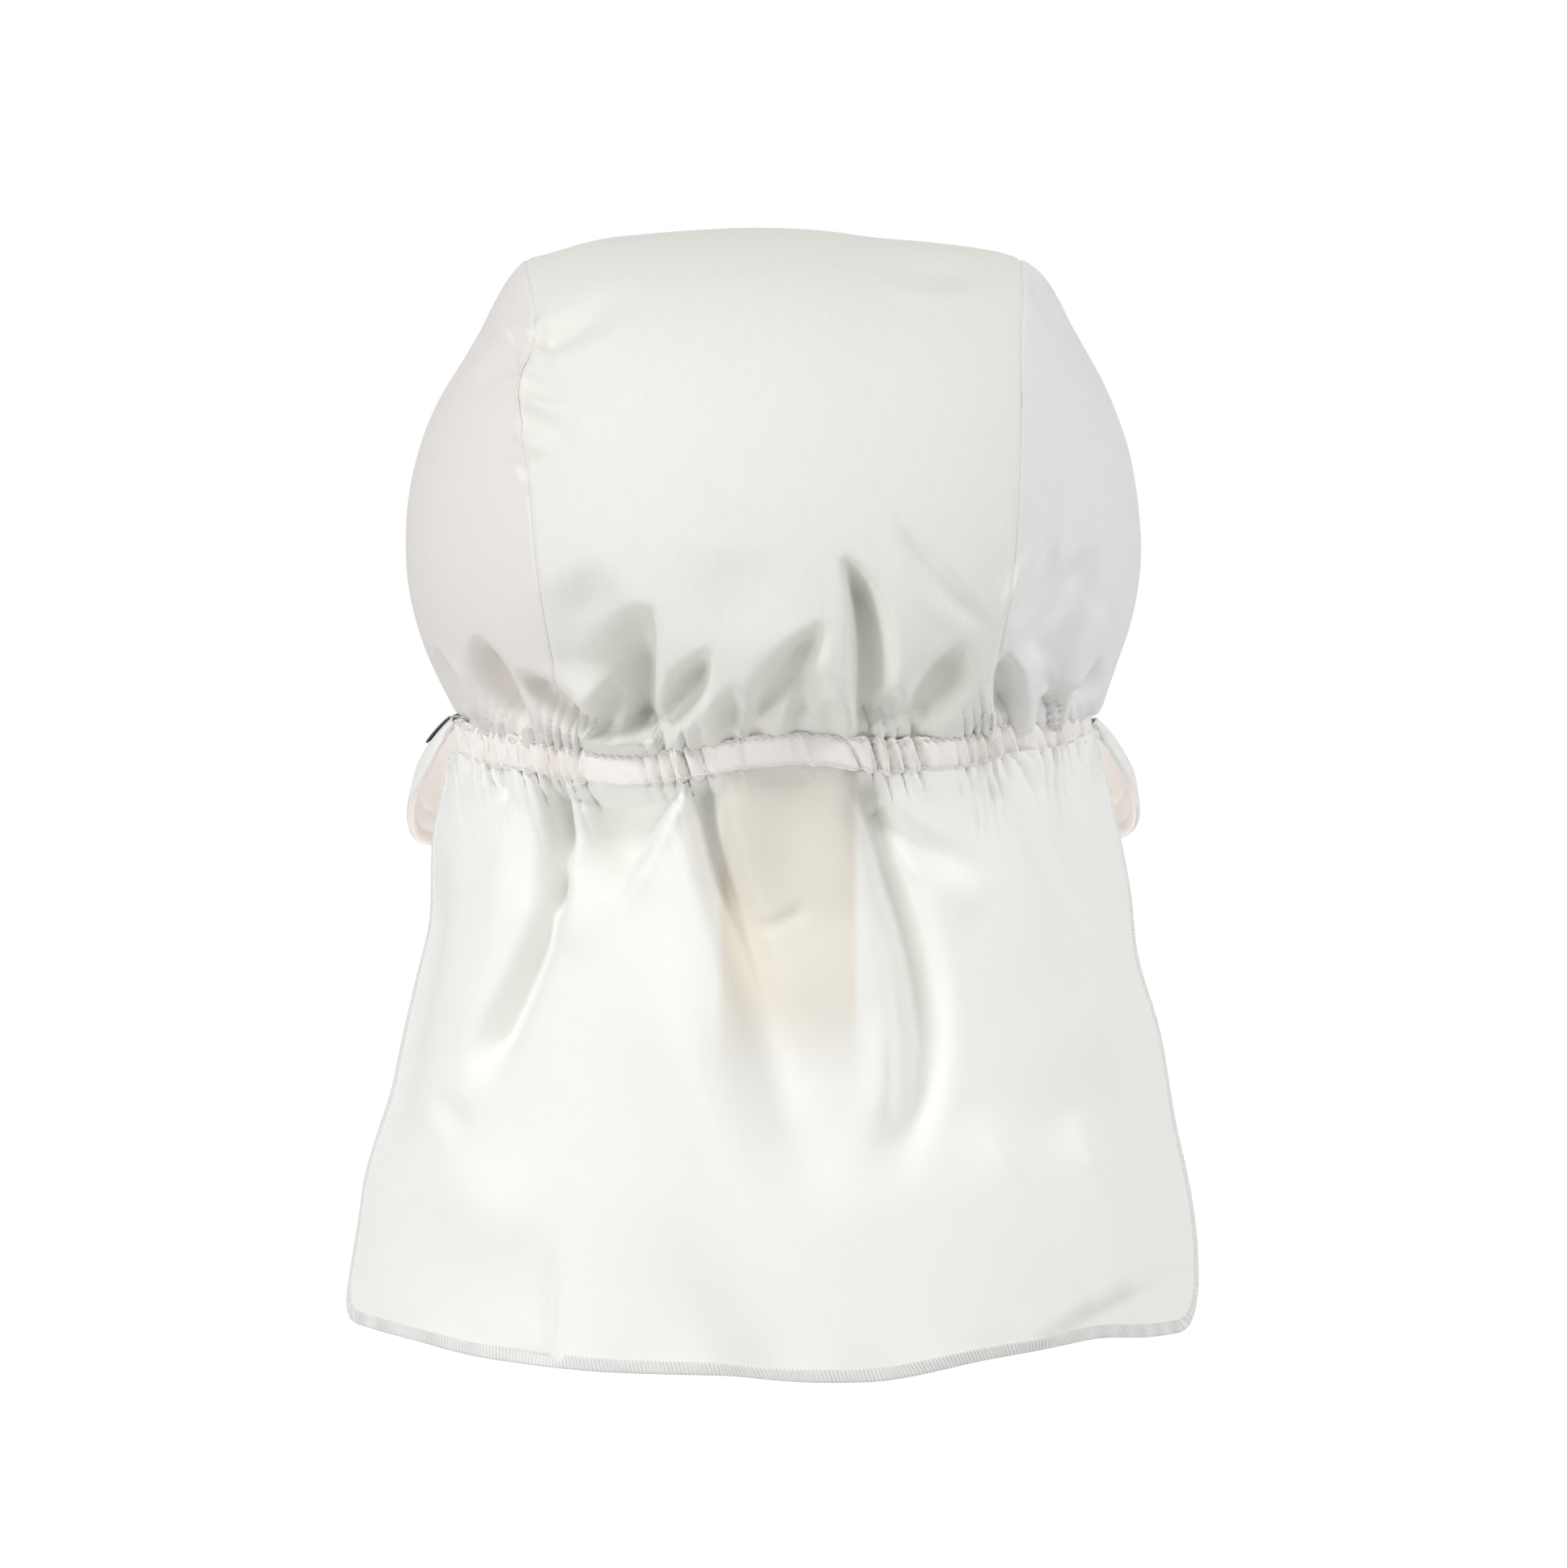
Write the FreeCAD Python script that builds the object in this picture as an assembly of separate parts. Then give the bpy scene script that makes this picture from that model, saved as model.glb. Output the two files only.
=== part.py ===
import FreeCAD, Part
import os
from math import asin, cos, hypot, pi, radians, sin

V = FreeCAD.Vector

# Child's sun cap with a gathered neck flap, in millimetres.
# +Z is up, +Y is the way the wearer looks, +X is the right hand side seen from behind.
# The origin is the centre of the head opening, half way up the elastic casing.

# Head opening
ring_half_width = 77.0
ring_half_length = 83.0

# Crown: three panels of one layer each
crown_half_width = 90.0
crown_half_length = 102.0
crown_apex_height = 125.0
crown_cloth = 1.0
seam_gap = 0.2
# The crown's fullness, foot to apex: share of the height, of the half width, of the half length.
crown_fullness = [
    (0.000, 0.856, 0.814), (0.068, 0.915, 0.885), (0.138, 0.955, 0.935), (0.225, 0.987, 0.978),
    (0.337, 1.000, 1.000), (0.480, 0.986, 0.990), (0.610, 0.932, 0.945), (0.720, 0.862, 0.872),
    (0.810, 0.800, 0.780), (0.880, 0.738, 0.680), (0.935, 0.645, 0.560), (0.970, 0.500, 0.415),
    (0.990, 0.310, 0.250), (1.000, 0.120, 0.095),
]
crown_squareness = 2.15

# Curved seams between the centre panel and the side panels
seam_half_width = 59.5
seam_half_width_at_foot = 46.0
seam_curve_height = 45.0
seam_overlock_width = 5.0
seam_overlock_thickness = 0.8
seam_overlock_gap = 0.4

# Elastic casing at the nape
casing_height = 8.0
casing_depth = 3.0
casing_cloth = 0.7
casing_inset = 0.2
temple_angle = 7.0
elastic_width = 6.0
elastic_thickness = 1.0
elastic_end_turn = 0.5
thread_width = 0.5
thread_thickness = 0.5
thread_edge_distance = 0.6
bartack_width = 2.0
bartack_thickness = 0.5
flap_overlock_height = 5.0
flap_overlock_thickness = 0.7

# Clearances between cloth pieces
cloth_gap = 0.2
moving_gap = 0.4

# Sweatband and the overlocked seam that joins crown, visor and sweatband
sweatband_height = 26.0
sweatband_drop = 2.0
sweatband_cloth = 1.0
sweatband_end_turn = 0.6
visor_overlock_height = 5.6
visor_overlock_thickness = 1.4

# Visor: upper cloth, interlining and lower cloth
visor_half_width = 92.0
visor_front_reach = 139.0
visor_root_outset = 1.6
visor_cloth = 0.6
visor_core = 0.7
layer_gap = 0.1
visor_side_drop = 23.0
visor_shoulder_drop = 35.0
visor_front_drop = 26.0
visor_arch = 0.10
visor_roundness = 0.83
visor_rear_angle = -6.0
visor_corner_angle = 20.0
visor_end_share = 0.16
visor_sections = 21
topstitch_first = 3.5
topstitch_spacing = 5.0
topstitch_first_angle = 10.0

# Fold line of the visor's front
visor_fold_forward = 90.0
visor_fold_gap = 0.6

# Side label, on the upper cloth of the visor beside the left temple
side_label_length = 30.0
side_label_height = 8.0
side_label_thickness = 0.5
side_label_start = 2.0
side_label_root_margin = 0.6

# Care label, hanging under the casing and lying along the flap's inner face
care_label_width = 33.0
care_label_length = 72.0
care_label_thickness = 0.4
care_label_centre = 4.0
care_label_gap = 0.7

# Neck flap
flap_top_angle = 83.0
flap_hem_angle = 68.0
flap_hem_half_width = 103.0
flap_hem_back = 103.0
flap_hem_depth = 114.0
flap_hem_height = 145.5
flap_corner_height = 141.0
flap_corner_radius = 12.0
flap_corner_overhang = 3.0
flap_cloth = 0.8
flap_top_inset = 0.4
flap_flare_power = 1.25
flap_levels = 12
flap_steps_between_folds = 12
overlock_width = 3.0
overlock_thickness = 1.4
# Folds of the flap from left to right. Each has its line from the top to below the hem, as pairs
# of place across and drop, its width to the left and to the right, and its depth at each pair.
flap_folds = [
    ([(-53, 0), (-53, 17), (-54, 36), (-61, 56), (-72, 80), (-80, 104), (-84, 150)],
     (13, 10), (0, 6.5, 9, 7, 3, 0, 0)),
    ([(-16, 0), (-15, 17), (-11, 34), (-3, 58), (6, 88), (8, 112), (8, 150)],
     (12, 10), (0, 6.5, 8, 6, 3.5, 0, 0)),
    ([(20, 0), (24, 17), (31, 36), (35, 60), (34, 86), (32, 112), (32, 150)],
     (10, 12), (0, 6.5, 9, 9, 6, 0, 0)),
    ([(60, 0), (65, 17), (72, 36), (79, 60), (83, 86), (85, 112), (87, 150)],
     (10, 10), (0, 4, 5, 3, 0, 0, 0)),
]

# Values that follow from the ones above
casing_top = casing_height / 2
crown_foot = casing_top + moving_gap
crown_rise = crown_apex_height - crown_foot
flap_top = -casing_top - moving_gap
visor_stack = visor_cloth + layer_gap + visor_core / 2
visor_root_height = crown_foot - cloth_gap - visor_stack
prism_reach = 2 * (visor_front_reach + flap_hem_back)
bartack_turn = bartack_width / ring_half_length * 180 / pi


def save(shape, node):
    shape.exportStep("parts/" + node + ".step")


def ring_point(angle, outset, height):
    a = radians(angle)
    return V((ring_half_width + outset) * cos(a), (ring_half_length + outset) * sin(a), height)


def ring_band(start, end, inner, outer, bottom, top):
    """Strip of cloth that follows the head opening from one angle to another."""
    steps = 24
    angles = [start + (end - start) * i / steps for i in range(steps + 1)]
    outside = Part.BSplineCurve()
    outside.interpolate([ring_point(a, outer, bottom) for a in angles])
    inside = Part.BSplineCurve()
    inside.interpolate([ring_point(a, inner, bottom) for a in reversed(angles)])
    far_end = Part.LineSegment(ring_point(end, outer, bottom), ring_point(end, inner, bottom))
    near_end = Part.LineSegment(ring_point(start, inner, bottom), ring_point(start, outer, bottom))
    edges = [outside.toShape(), far_end.toShape(), inside.toShape(), near_end.toShape()]
    face = Part.Face(Part.Wire(edges))
    return face.extrude(V(0, 0, top - bottom))


def closed_curve(points):
    curve = Part.BSplineCurve()
    curve.interpolate(points, PeriodicFlag=True)
    return Part.Wire(curve.toShape())


def smooth_line(points, evenly):
    """Smooth curve through points; evenly gives every step between two points the same share."""
    curve = Part.BSplineCurve()
    if evenly:
        curve.interpolate(Points=points, Parameters=[float(i) for i in range(len(points))])
    else:
        curve.interpolate(points)
    return curve


def strip_wire(first_side, second_side, evenly=False):
    """Closed section of a sheet, from the points of its two sides in the same order."""
    first = smooth_line(first_side, evenly)
    second = smooth_line(list(reversed(second_side)), evenly)
    end_cap = Part.LineSegment(first_side[-1], second_side[-1])
    start_cap = Part.LineSegment(second_side[0], first_side[0])
    return Part.Wire([first.toShape(), end_cap.toShape(), second.toShape(), start_cap.toShape()])


# --- Crown ---

def crown_level(index, inset):
    """Half width, half length and height of one level, set in along the profile's normal."""
    before = crown_fullness[max(index - 1, 0)]
    after = crown_fullness[min(index + 1, len(crown_fullness) - 1)]
    rise = (after[0] - before[0]) * crown_rise
    spread = (after[1] - before[1]) * crown_half_width
    length = hypot(rise, spread)
    share, width_share, length_share = crown_fullness[index]
    half_width = crown_half_width * width_share - inset * rise / length
    half_length = crown_half_length * length_share - inset * rise / length
    height = crown_foot + crown_rise * share + inset * spread / length
    return half_width, half_length, height


def crown_section(half_width, half_length, height):
    points = []
    count = 40
    for i in range(count):
        a = pi / 2 + 2 * pi * i / count
        c = cos(a)
        s = sin(a)
        size = (abs(c) ** crown_squareness + abs(s) ** crown_squareness) ** (-1 / crown_squareness)
        points.append(V(half_width * c * size, half_length * s * size, height))
    return closed_curve(points)


def crown_form(inset, extend_down):
    """Solid dome, set in by a distance and lengthened below the crown's foot."""
    levels = [crown_level(i, inset) for i in range(len(crown_fullness))]
    foot_width = ring_half_width - inset
    foot_length = ring_half_length - inset
    levels[0] = (foot_width, foot_length, crown_foot)
    sections = []
    if extend_down > 0:
        sections.append(crown_section(foot_width, foot_length, crown_foot - extend_down))
    for level in levels:
        sections.append(crown_section(*level))
    return Part.makeLoft(sections, True, False, False, 3)


def seam_line(side, shift):
    """The seam's place across the crown at each height, as an edge in the XZ plane."""
    points = []
    heights = [crown_foot - 2 + (crown_rise + 4) * i / 12 for i in range(13)]
    for z in heights:
        share = min(max((z - crown_foot) / seam_curve_height, 0), 1)
        ease = sin(share * pi / 2)
        x = seam_half_width_at_foot + (seam_half_width - seam_half_width_at_foot) * ease
        points.append(V(side * (x + shift), -prism_reach / 2, z))
    return points


def prism_between(first, second):
    face = Part.Face(strip_wire(first, second))
    return face.extrude(V(0, prism_reach, 0))


def straight_line(x):
    return [V(x, p.y, p.z) for p in seam_line(1, 0)]


def make_crown():
    shell = crown_form(0, 0).cut(crown_form(crown_cloth, crown_cloth))
    half_gap = seam_gap / 2
    centre = prism_between(seam_line(-1, -half_gap), seam_line(1, -half_gap))
    save(shell.common(centre), "crown_centre_panel")
    past_side = 2 * crown_half_width
    for side, name in ((-1, "crown_left_panel"), (1, "crown_right_panel")):
        outside = prism_between(seam_line(side, half_gap), straight_line(side * past_side))
        save(shell.common(outside), name)


def make_seam_overlocks():
    outer = crown_cloth + seam_overlock_gap
    inner = outer + seam_overlock_thickness
    layer = crown_form(outer, 0).cut(crown_form(inner, crown_cloth))
    half = seam_overlock_width / 2
    for side, name in ((-1, "left_seam_overlock"), (1, "right_seam_overlock")):
        strip = prism_between(seam_line(side, -half), seam_line(side, half))
        save(layer.common(strip), name)


# --- Elastic casing and what is sewn to it ---

def make_casing():
    start = 180 + temple_angle
    end = 360 - temple_angle
    outer = -casing_inset
    inner = outer - casing_depth
    tube = ring_band(start, end, inner, outer, -casing_top, casing_top)
    hollow_top = casing_top - casing_cloth
    hollow = ring_band(start - 2, end + 2, inner + casing_cloth, outer - casing_cloth,
                       -hollow_top, hollow_top)
    save(tube.cut(hollow), "elastic_casing")
    middle = (inner + outer) / 2
    half = elastic_thickness / 2
    elastic = ring_band(start + elastic_end_turn, end - elastic_end_turn, middle - half, middle + half,
                        -elastic_width / 2, elastic_width / 2)
    save(elastic, "elastic_tape")
    thread_inner = outer + cloth_gap
    edge = casing_top - thread_edge_distance
    upper = ring_band(start, end, thread_inner, thread_inner + thread_thickness,
                      edge - thread_width, edge)
    save(upper, "casing_upper_stitching")
    lower = ring_band(start, end, thread_inner, thread_inner + thread_thickness,
                      -edge, -edge + thread_width)
    save(lower, "casing_lower_stitching")


def make_bartacks():
    inner_face = -casing_inset - casing_depth - cloth_gap
    half = elastic_width / 2
    starts = {
        "left_elastic_bartack": 180 + temple_angle,
        "right_elastic_bartack": 360 - temple_angle - bartack_turn,
    }
    for name, start in starts.items():
        tack = ring_band(start, start + bartack_turn, inner_face - bartack_thickness, inner_face,
                         -half, half)
        save(tack, name)


def make_flap_seam_overlock():
    outer = -casing_inset - casing_depth - cloth_gap
    clear_of_tacks = temple_angle + 2 * bartack_turn
    band = ring_band(180 + clear_of_tacks, 360 - clear_of_tacks, outer - flap_overlock_thickness,
                     outer, -casing_top, -casing_top + flap_overlock_height)
    save(band, "flap_seam_overlock")


def make_sweatband():
    end = temple_angle - sweatband_end_turn
    outer = -visor_overlock_thickness - cloth_gap
    band = ring_band(-end, 180 + end, outer - sweatband_cloth, outer,
                     -sweatband_drop, -sweatband_drop + sweatband_height)
    save(band, "sweatband")
    seam_top = crown_foot - cloth_gap
    allowance = ring_band(-end, 180 + end, -visor_overlock_thickness, 0,
                          seam_top - visor_overlock_height, seam_top)
    save(allowance, "visor_seam_overlock")
    thread_outer = outer - sweatband_cloth - cloth_gap
    thread = ring_band(-end, 180 + end, thread_outer - thread_thickness, thread_outer,
                       -thread_width / 2, thread_width / 2)
    save(thread, "sweatband_stitching")


# --- Visor ---

def visor_plan(angle):
    """Root and hem of the visor at one angle: two plan points and the drop between them."""
    a = radians(angle)
    root = ring_point(angle, visor_root_outset, visor_root_height)
    from_side = max(sin(a), 0)
    to_side = abs(cos(a)) ** visor_roundness
    full = V(visor_half_width * to_side, visor_front_reach * from_side ** visor_roundness, 0)
    if cos(a) < 0:
        full.x = -full.x
    shoulder = sin(pi * from_side)
    drop = visor_side_drop * (1 - from_side) + visor_front_drop * from_side
    drop = drop + (visor_shoulder_drop - (visor_side_drop + visor_front_drop) / 2) * shoulder
    from_end = angle if angle <= 90 else 180 - angle
    share = (from_end - visor_rear_angle) / visor_corner_angle
    share = min(max(share, 0), 1)
    width = visor_end_share + (1 - visor_end_share) * (1 - (1 - share) ** 2) ** 0.5
    hem = V(root.x + (full.x - root.x) * width, root.y + (full.y - root.y) * width, 0)
    if sin(a) < 0:
        hem.y = root.y
    return root, hem, drop * width


def visor_side_points(angle, offset, start, end):
    """Points across the visor at one height above its middle surface, in one vertical plane."""
    root, hem, drop = visor_plan(angle)
    reach = hypot(hem.x - root.x, hem.y - root.y)
    across = V((hem.x - root.x) / reach, (hem.y - root.y) / reach, 0)
    length = hypot(reach, drop)
    arch = visor_arch * length
    points = []
    steps = 4
    for i in range(steps + 1):
        s = start(length) + (end(length) - start(length)) * i / steps
        out = reach * s + arch * 4 * s * (1 - s) * drop / length
        down = drop * s - arch * 4 * s * (1 - s) * reach / length
        slope = arch * 4 * (1 - 2 * s)
        along = reach + slope * drop / length
        fall = drop - slope * reach / length
        size = hypot(along, fall)
        out = out + offset * fall / size
        up = offset * along / size - down
        points.append(root + across * out + V(0, 0, up))
    return points


def visor_layer(low, high, start, end, first, last, count):
    """Sheet of the visor between two heights, from one angle to another."""
    sections = []
    for i in range(count):
        angle = first + (last - first) * i / (count - 1)
        upper = visor_side_points(angle, high, start, end)
        lower = visor_side_points(angle, low, start, end)
        sections.append(strip_wire(upper, lower))
    return Part.makeLoft(sections, True, False)


def whole_start(length):
    return 0


def whole_end(length):
    return 1


def split_at_fold(shape, name):
    """Cut a visor piece at its fold line into the part that turns up and the part that stays."""
    size = prism_reach
    half = size / 2
    low_corner = V(-half, visor_fold_forward + visor_fold_gap / 2, -half)
    ahead = Part.makeBox(size, size, size, low_corner)
    back_corner = V(-half, visor_fold_forward - visor_fold_gap / 2 - size, -half)
    behind = Part.makeBox(size, size, size, back_corner)
    save(shape.common(ahead), name + "_front")
    save(shape.common(behind), name + "_sides")


def make_visor():
    half_core = visor_core / 2
    first = visor_rear_angle
    last = 180 - visor_rear_angle
    layers = {
        "visor_upper_cloth": (half_core + layer_gap, half_core + layer_gap + visor_cloth),
        "visor_interlining": (-half_core, half_core),
        "visor_lower_cloth": (-half_core - layer_gap - visor_cloth, -half_core - layer_gap),
    }
    for name, (low, high) in layers.items():
        sheet = visor_layer(low, high, whole_start, whole_end, first, last, visor_sections)
        split_at_fold(sheet, name)


def make_visor_topstitching():
    low = visor_stack + layer_gap
    high = low + thread_thickness
    rows = []
    first = topstitch_first_angle
    for distance in (topstitch_first, topstitch_first + topstitch_spacing):
        def row_start(length, distance=distance):
            return 1 - (distance + thread_width) / length

        def row_end(length, distance=distance):
            return 1 - distance / length

        row = visor_layer(low, high, row_start, row_end, first, 180 - first, visor_sections)
        rows.append(row)
    split_at_fold(Part.makeCompound(rows), "visor_topstitching")


def make_side_label():
    low = visor_stack + cloth_gap
    high = low + side_label_thickness

    def label_start(length):
        return side_label_root_margin / length

    def label_end(length):
        return (side_label_root_margin + side_label_height) / length

    turn = 180 / pi / ring_half_length
    last = 180 - side_label_start * turn
    first = last - side_label_length * turn
    label = visor_layer(low, high, label_start, label_end, first, last, 5)
    save(label, "side_label")
    tack_turn = thread_width * 2 * turn
    tacks = []
    for start in (first + tack_turn, last - 2 * tack_turn):
        tack = visor_layer(high + layer_gap, high + layer_gap + thread_thickness / 2,
                           label_start, label_end, start, start + tack_turn, 2)
        tacks.append(tack)
    save(Part.makeCompound(tacks), "side_label_stitching")


# --- Neck flap ---

def between(knots, at):
    """Value read off a line of (place, value) pairs."""
    for (start, first), (end, second) in zip(knots, knots[1:]):
        if at <= end:
            return first + (second - first) * max(at - start, 0) / (end - start)
    return knots[-1][1]


def fold_line(line, drop):
    return between([(low, across) for across, low in line], drop)


def fold_depth(x, drop):
    """How far the folds set the flap in towards the wearer, at one place across and down."""
    total = 0
    for line, widths, depths in flap_folds:
        middle = fold_line(line, drop)
        width = widths[0] if x < middle else widths[1]
        share = (x - middle) / width
        deepest = between([(pair[1], depth) for pair, depth in zip(line, depths)], drop)
        total = total + deepest * max(1 - share * share, 0) ** 2
    return total


def flap_arc(share):
    """Half angle, half axes and rearmost place of the flap's arc at a share of its fall."""
    half_angle = radians(flap_top_angle + (flap_hem_angle - flap_top_angle) * share)
    top_width = (ring_half_width - flap_top_inset) * sin(radians(flap_top_angle))
    flare = 1 - max(1 - share, 0) ** flap_flare_power
    half_width = top_width + (flap_hem_half_width - top_width) * flare
    top_depth = ring_half_length - flap_top_inset
    depth = top_depth + (flap_hem_depth - top_depth) * share
    back = top_depth + (flap_hem_back - top_depth) * share
    return half_angle, half_width / sin(half_angle), depth, back


def flap_point(share, across, outset):
    """Point of the flap at a share of its fall, and at a place from edge (-1) to edge (1)."""
    half_angle, width_axis, depth, back = flap_arc(share)
    a = half_angle * across
    normal = V(sin(a) * depth, -cos(a) * width_axis, 0)
    normal.normalize()
    drop = (flap_hem_height + flap_top) * share
    place = V(width_axis * sin(a), -back + depth * (1 - cos(a)), flap_top - drop)
    return place + normal * outset + V(0, fold_depth(place.x, drop), 0)


def flap_section(inner, outer, share, places):
    outside = [flap_point(share, place, outer) for place in places]
    inside = [flap_point(share, place, inner) for place in places]
    return strip_wire(outside, inside, True)


def flap_columns(share, limit):
    """Places across the flap at a share of its fall, with one that follows each fold's line."""
    half_angle, width_axis = flap_arc(share)[:2]
    drop = (flap_hem_height + flap_top) * share
    middles = [fold_line(line, drop) for line, widths, depths in flap_folds]
    stops = [-limit] + [asin(x / width_axis) / half_angle for x in middles] + [limit]
    places = [-limit]
    for start, end in zip(stops, stops[1:]):
        step = (end - start) / flap_steps_between_folds
        places = places + [start + step * (k + 1) for k in range(flap_steps_between_folds)]
    return places


def flap_sheet(inner, outer, edge_cut):
    """Solid of the flap between two offsets, with its side edges cut back by a distance."""
    past_hem = 1.04
    half_arc = radians(flap_hem_angle) * flap_hem_depth
    limit = 1 - edge_cut / half_arc
    sections = []
    for i in range(flap_levels + 1):
        share = past_hem * i / flap_levels
        sections.append(flap_section(inner, outer, share, flap_columns(share, limit)))
    return Part.makeLoft(sections, True, False)


def hem_prism(raise_by):
    """Outline of the flap's lower edge with its round corners, run through the flap."""
    half = flap_hem_half_width + flap_corner_overhang
    radius = flap_corner_radius - raise_by
    corner = -flap_corner_height + raise_by
    middle = -flap_hem_height + raise_by
    y = -prism_reach
    top = crown_foot
    bend = radius * (1 - cos(pi / 4))
    left_top = V(-half, y, top)
    right_top = V(half, y, top)
    right_side = V(half, y, corner + radius)
    right_low = V(half - radius, y, corner)
    left_low = V(-half + radius, y, corner)
    left_side = V(-half, y, corner + radius)
    right_bend = V(half - bend, y, corner + bend)
    left_bend = V(-half + bend, y, corner + bend)
    edges = [
        Part.LineSegment(left_top, right_top).toShape(),
        Part.LineSegment(right_top, right_side).toShape(),
        Part.Arc(right_side, right_bend, right_low).toShape(),
        Part.Arc(right_low, V(0, y, middle), left_low).toShape(),
        Part.Arc(left_low, left_bend, left_side).toShape(),
        Part.LineSegment(left_side, left_top).toShape(),
    ]
    return Part.Face(Part.Wire(edges)).extrude(V(0, 2 * prism_reach, 0))


def make_neck_flap():
    centre = -flap_cloth / 2
    edge_gap = cloth_gap / 2
    cut = overlock_width + edge_gap
    cloth = flap_sheet(centre - flap_cloth / 2, centre + flap_cloth / 2, cut)
    save(cloth.common(hem_prism(cut)), "neck_flap")
    thick = flap_sheet(centre - overlock_thickness / 2, centre + overlock_thickness / 2, 0)
    edge = thick.common(hem_prism(0))
    inner_cut = overlock_width - edge_gap
    middle = flap_sheet(centre - overlock_thickness, centre + overlock_thickness, inner_cut)
    middle = middle.common(hem_prism(inner_cut))
    save(edge.cut(middle), "neck_flap_overlock")


def make_care_label():
    """Strip of satin that lies along the flap's inner face, as wide and as long as its outline."""
    outer = -flap_cloth - care_label_gap
    left = care_label_centre - care_label_width / 2
    foot = V(left, -prism_reach, flap_top - care_label_length)
    outline = Part.makeBox(care_label_width, prism_reach, care_label_length, foot)
    save(flap_sheet(outer - care_label_thickness, outer, 0).common(outline), "care_label")


os.makedirs("parts", exist_ok=True)
make_crown()
make_seam_overlocks()
make_casing()
make_bartacks()
make_flap_seam_overlock()
make_sweatband()
make_visor()
make_visor_topstitching()
make_side_label()
make_neck_flap()
make_care_label()
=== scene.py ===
import bmesh
import bpy
import numpy as np
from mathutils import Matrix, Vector


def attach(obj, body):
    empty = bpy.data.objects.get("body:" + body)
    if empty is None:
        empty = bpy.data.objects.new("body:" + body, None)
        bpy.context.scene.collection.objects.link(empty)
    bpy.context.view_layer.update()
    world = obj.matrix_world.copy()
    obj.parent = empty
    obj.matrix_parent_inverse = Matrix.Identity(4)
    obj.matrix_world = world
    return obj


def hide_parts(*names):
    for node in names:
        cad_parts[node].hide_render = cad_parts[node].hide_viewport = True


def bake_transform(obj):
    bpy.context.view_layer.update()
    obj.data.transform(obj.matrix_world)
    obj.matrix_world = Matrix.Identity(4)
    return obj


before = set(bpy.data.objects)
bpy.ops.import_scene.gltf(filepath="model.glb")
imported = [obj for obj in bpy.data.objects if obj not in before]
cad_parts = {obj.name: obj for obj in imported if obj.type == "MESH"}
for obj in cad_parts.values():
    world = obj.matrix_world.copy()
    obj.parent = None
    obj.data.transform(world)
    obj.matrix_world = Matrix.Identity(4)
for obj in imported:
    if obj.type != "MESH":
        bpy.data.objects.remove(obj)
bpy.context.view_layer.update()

# --- Crown, centre panel ---
# One strip of white cotton poplin that runs from the nape over the top to the brow. It is
# joined to the side panels by plain curved seams, and eased into the casing in soft folds.

mm = 0.001
RING_WIDTH = 77 * mm
RING_LENGTH = 83 * mm
CROWN_FOOT = 4.4 * mm
APEX = 125 * mm
SEAM_TOP = 117 * mm
CROWN_CLOTH = 0.7 * mm
GATHER = 3.6 * mm
GATHER_REACH = 5 * mm
SLACK = 0.9 * mm
SLACK_REACH = 7 * mm


def smooth_curve(knots, at):
    """Smooth line through a few knots, each a place and a value, read at other places."""
    t = np.array([k[0] for k in knots], float)
    v = np.array([k[1] for k in knots], float)
    slope = np.gradient(v, t)
    at = np.clip(at, t[0], t[-1])
    i = np.clip(np.searchsorted(t, at, side="right") - 1, 0, len(t) - 2)
    step = t[i + 1] - t[i]
    x = (at - t[i]) / step
    start = v[i] * (1 + 2 * x) * (1 - x) ** 2 + slope[i] * step * x * (1 - x) ** 2
    end = v[i + 1] * x * x * (3 - 2 * x) - slope[i + 1] * step * x * x * (1 - x)
    return start + end


def curve_mm(knots, at):
    """Smooth line through a few knots written in millimetres."""
    return smooth_curve([(a * mm, b * mm) for a, b in knots], at)


def unit(vectors):
    """Vectors scaled to a length of one."""
    return vectors / np.linalg.norm(vectors, axis=1)[:, None]


def run_along(points):
    """Distance of each point from the first one, along the line through them."""
    return np.concatenate([[0], np.cumsum(np.linalg.norm(np.diff(points, axis=0), axis=1))])


def soft_step(low, high, at):
    x = np.clip((at - low) / (high - low), 0, 1)
    return x * x * (3 - 2 * x)


def fold(x, z, path, width, depth, crisp, fade, steep, shoulder, taper):
    """Valley or ridge that follows a line seen from behind, in millimetres, fading at its ends.
    steep makes its right hand slope that many times narrower than its left hand one, shoulder is
    how far the cloth beside it swells the other way, and taper gives the share of its width at
    its start, its middle and its end."""
    knots = np.array(path, float) * mm
    run = run_along(knots)
    steps = 16
    at = np.linspace(0, run[-1], steps + 1)
    line_x = smooth_curve(list(zip(run, knots[:, 0])), at)
    line_z = smooth_curve(list(zip(run, knots[:, 1])), at)
    best = np.full(x.shape, np.inf)
    along = np.zeros(x.shape)
    side = np.zeros(x.shape)
    for i in range(steps):
        dx = line_x[i + 1] - line_x[i]
        dz = line_z[i + 1] - line_z[i]
        t = np.clip(((x - line_x[i]) * dx + (z - line_z[i]) * dz) / (dx * dx + dz * dz), 0, 1)
        off_x = x - line_x[i] - t * dx
        off_z = z - line_z[i] - t * dz
        away = np.hypot(off_x, off_z)
        nearer = away < best
        best = np.where(nearer, away, best)
        along = np.where(nearer, (i + t) / steps, along)
        side = np.where(nearer, off_x, side)
    breadth = smooth_curve([(0, taper[0]), (0.45, taper[1]), (1, taper[2])], along)
    reach = width * mm * breadth / np.where(side > 0, steep, 1)
    ends = soft_step(0, fade[0], along) * soft_step(0, fade[1], 1 - along)
    share = best / reach
    profile = np.exp(-share ** crisp) - shoulder * np.exp(-((share - 1.9) / 0.75) ** 2)
    return depth * mm * ends * profile


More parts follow.
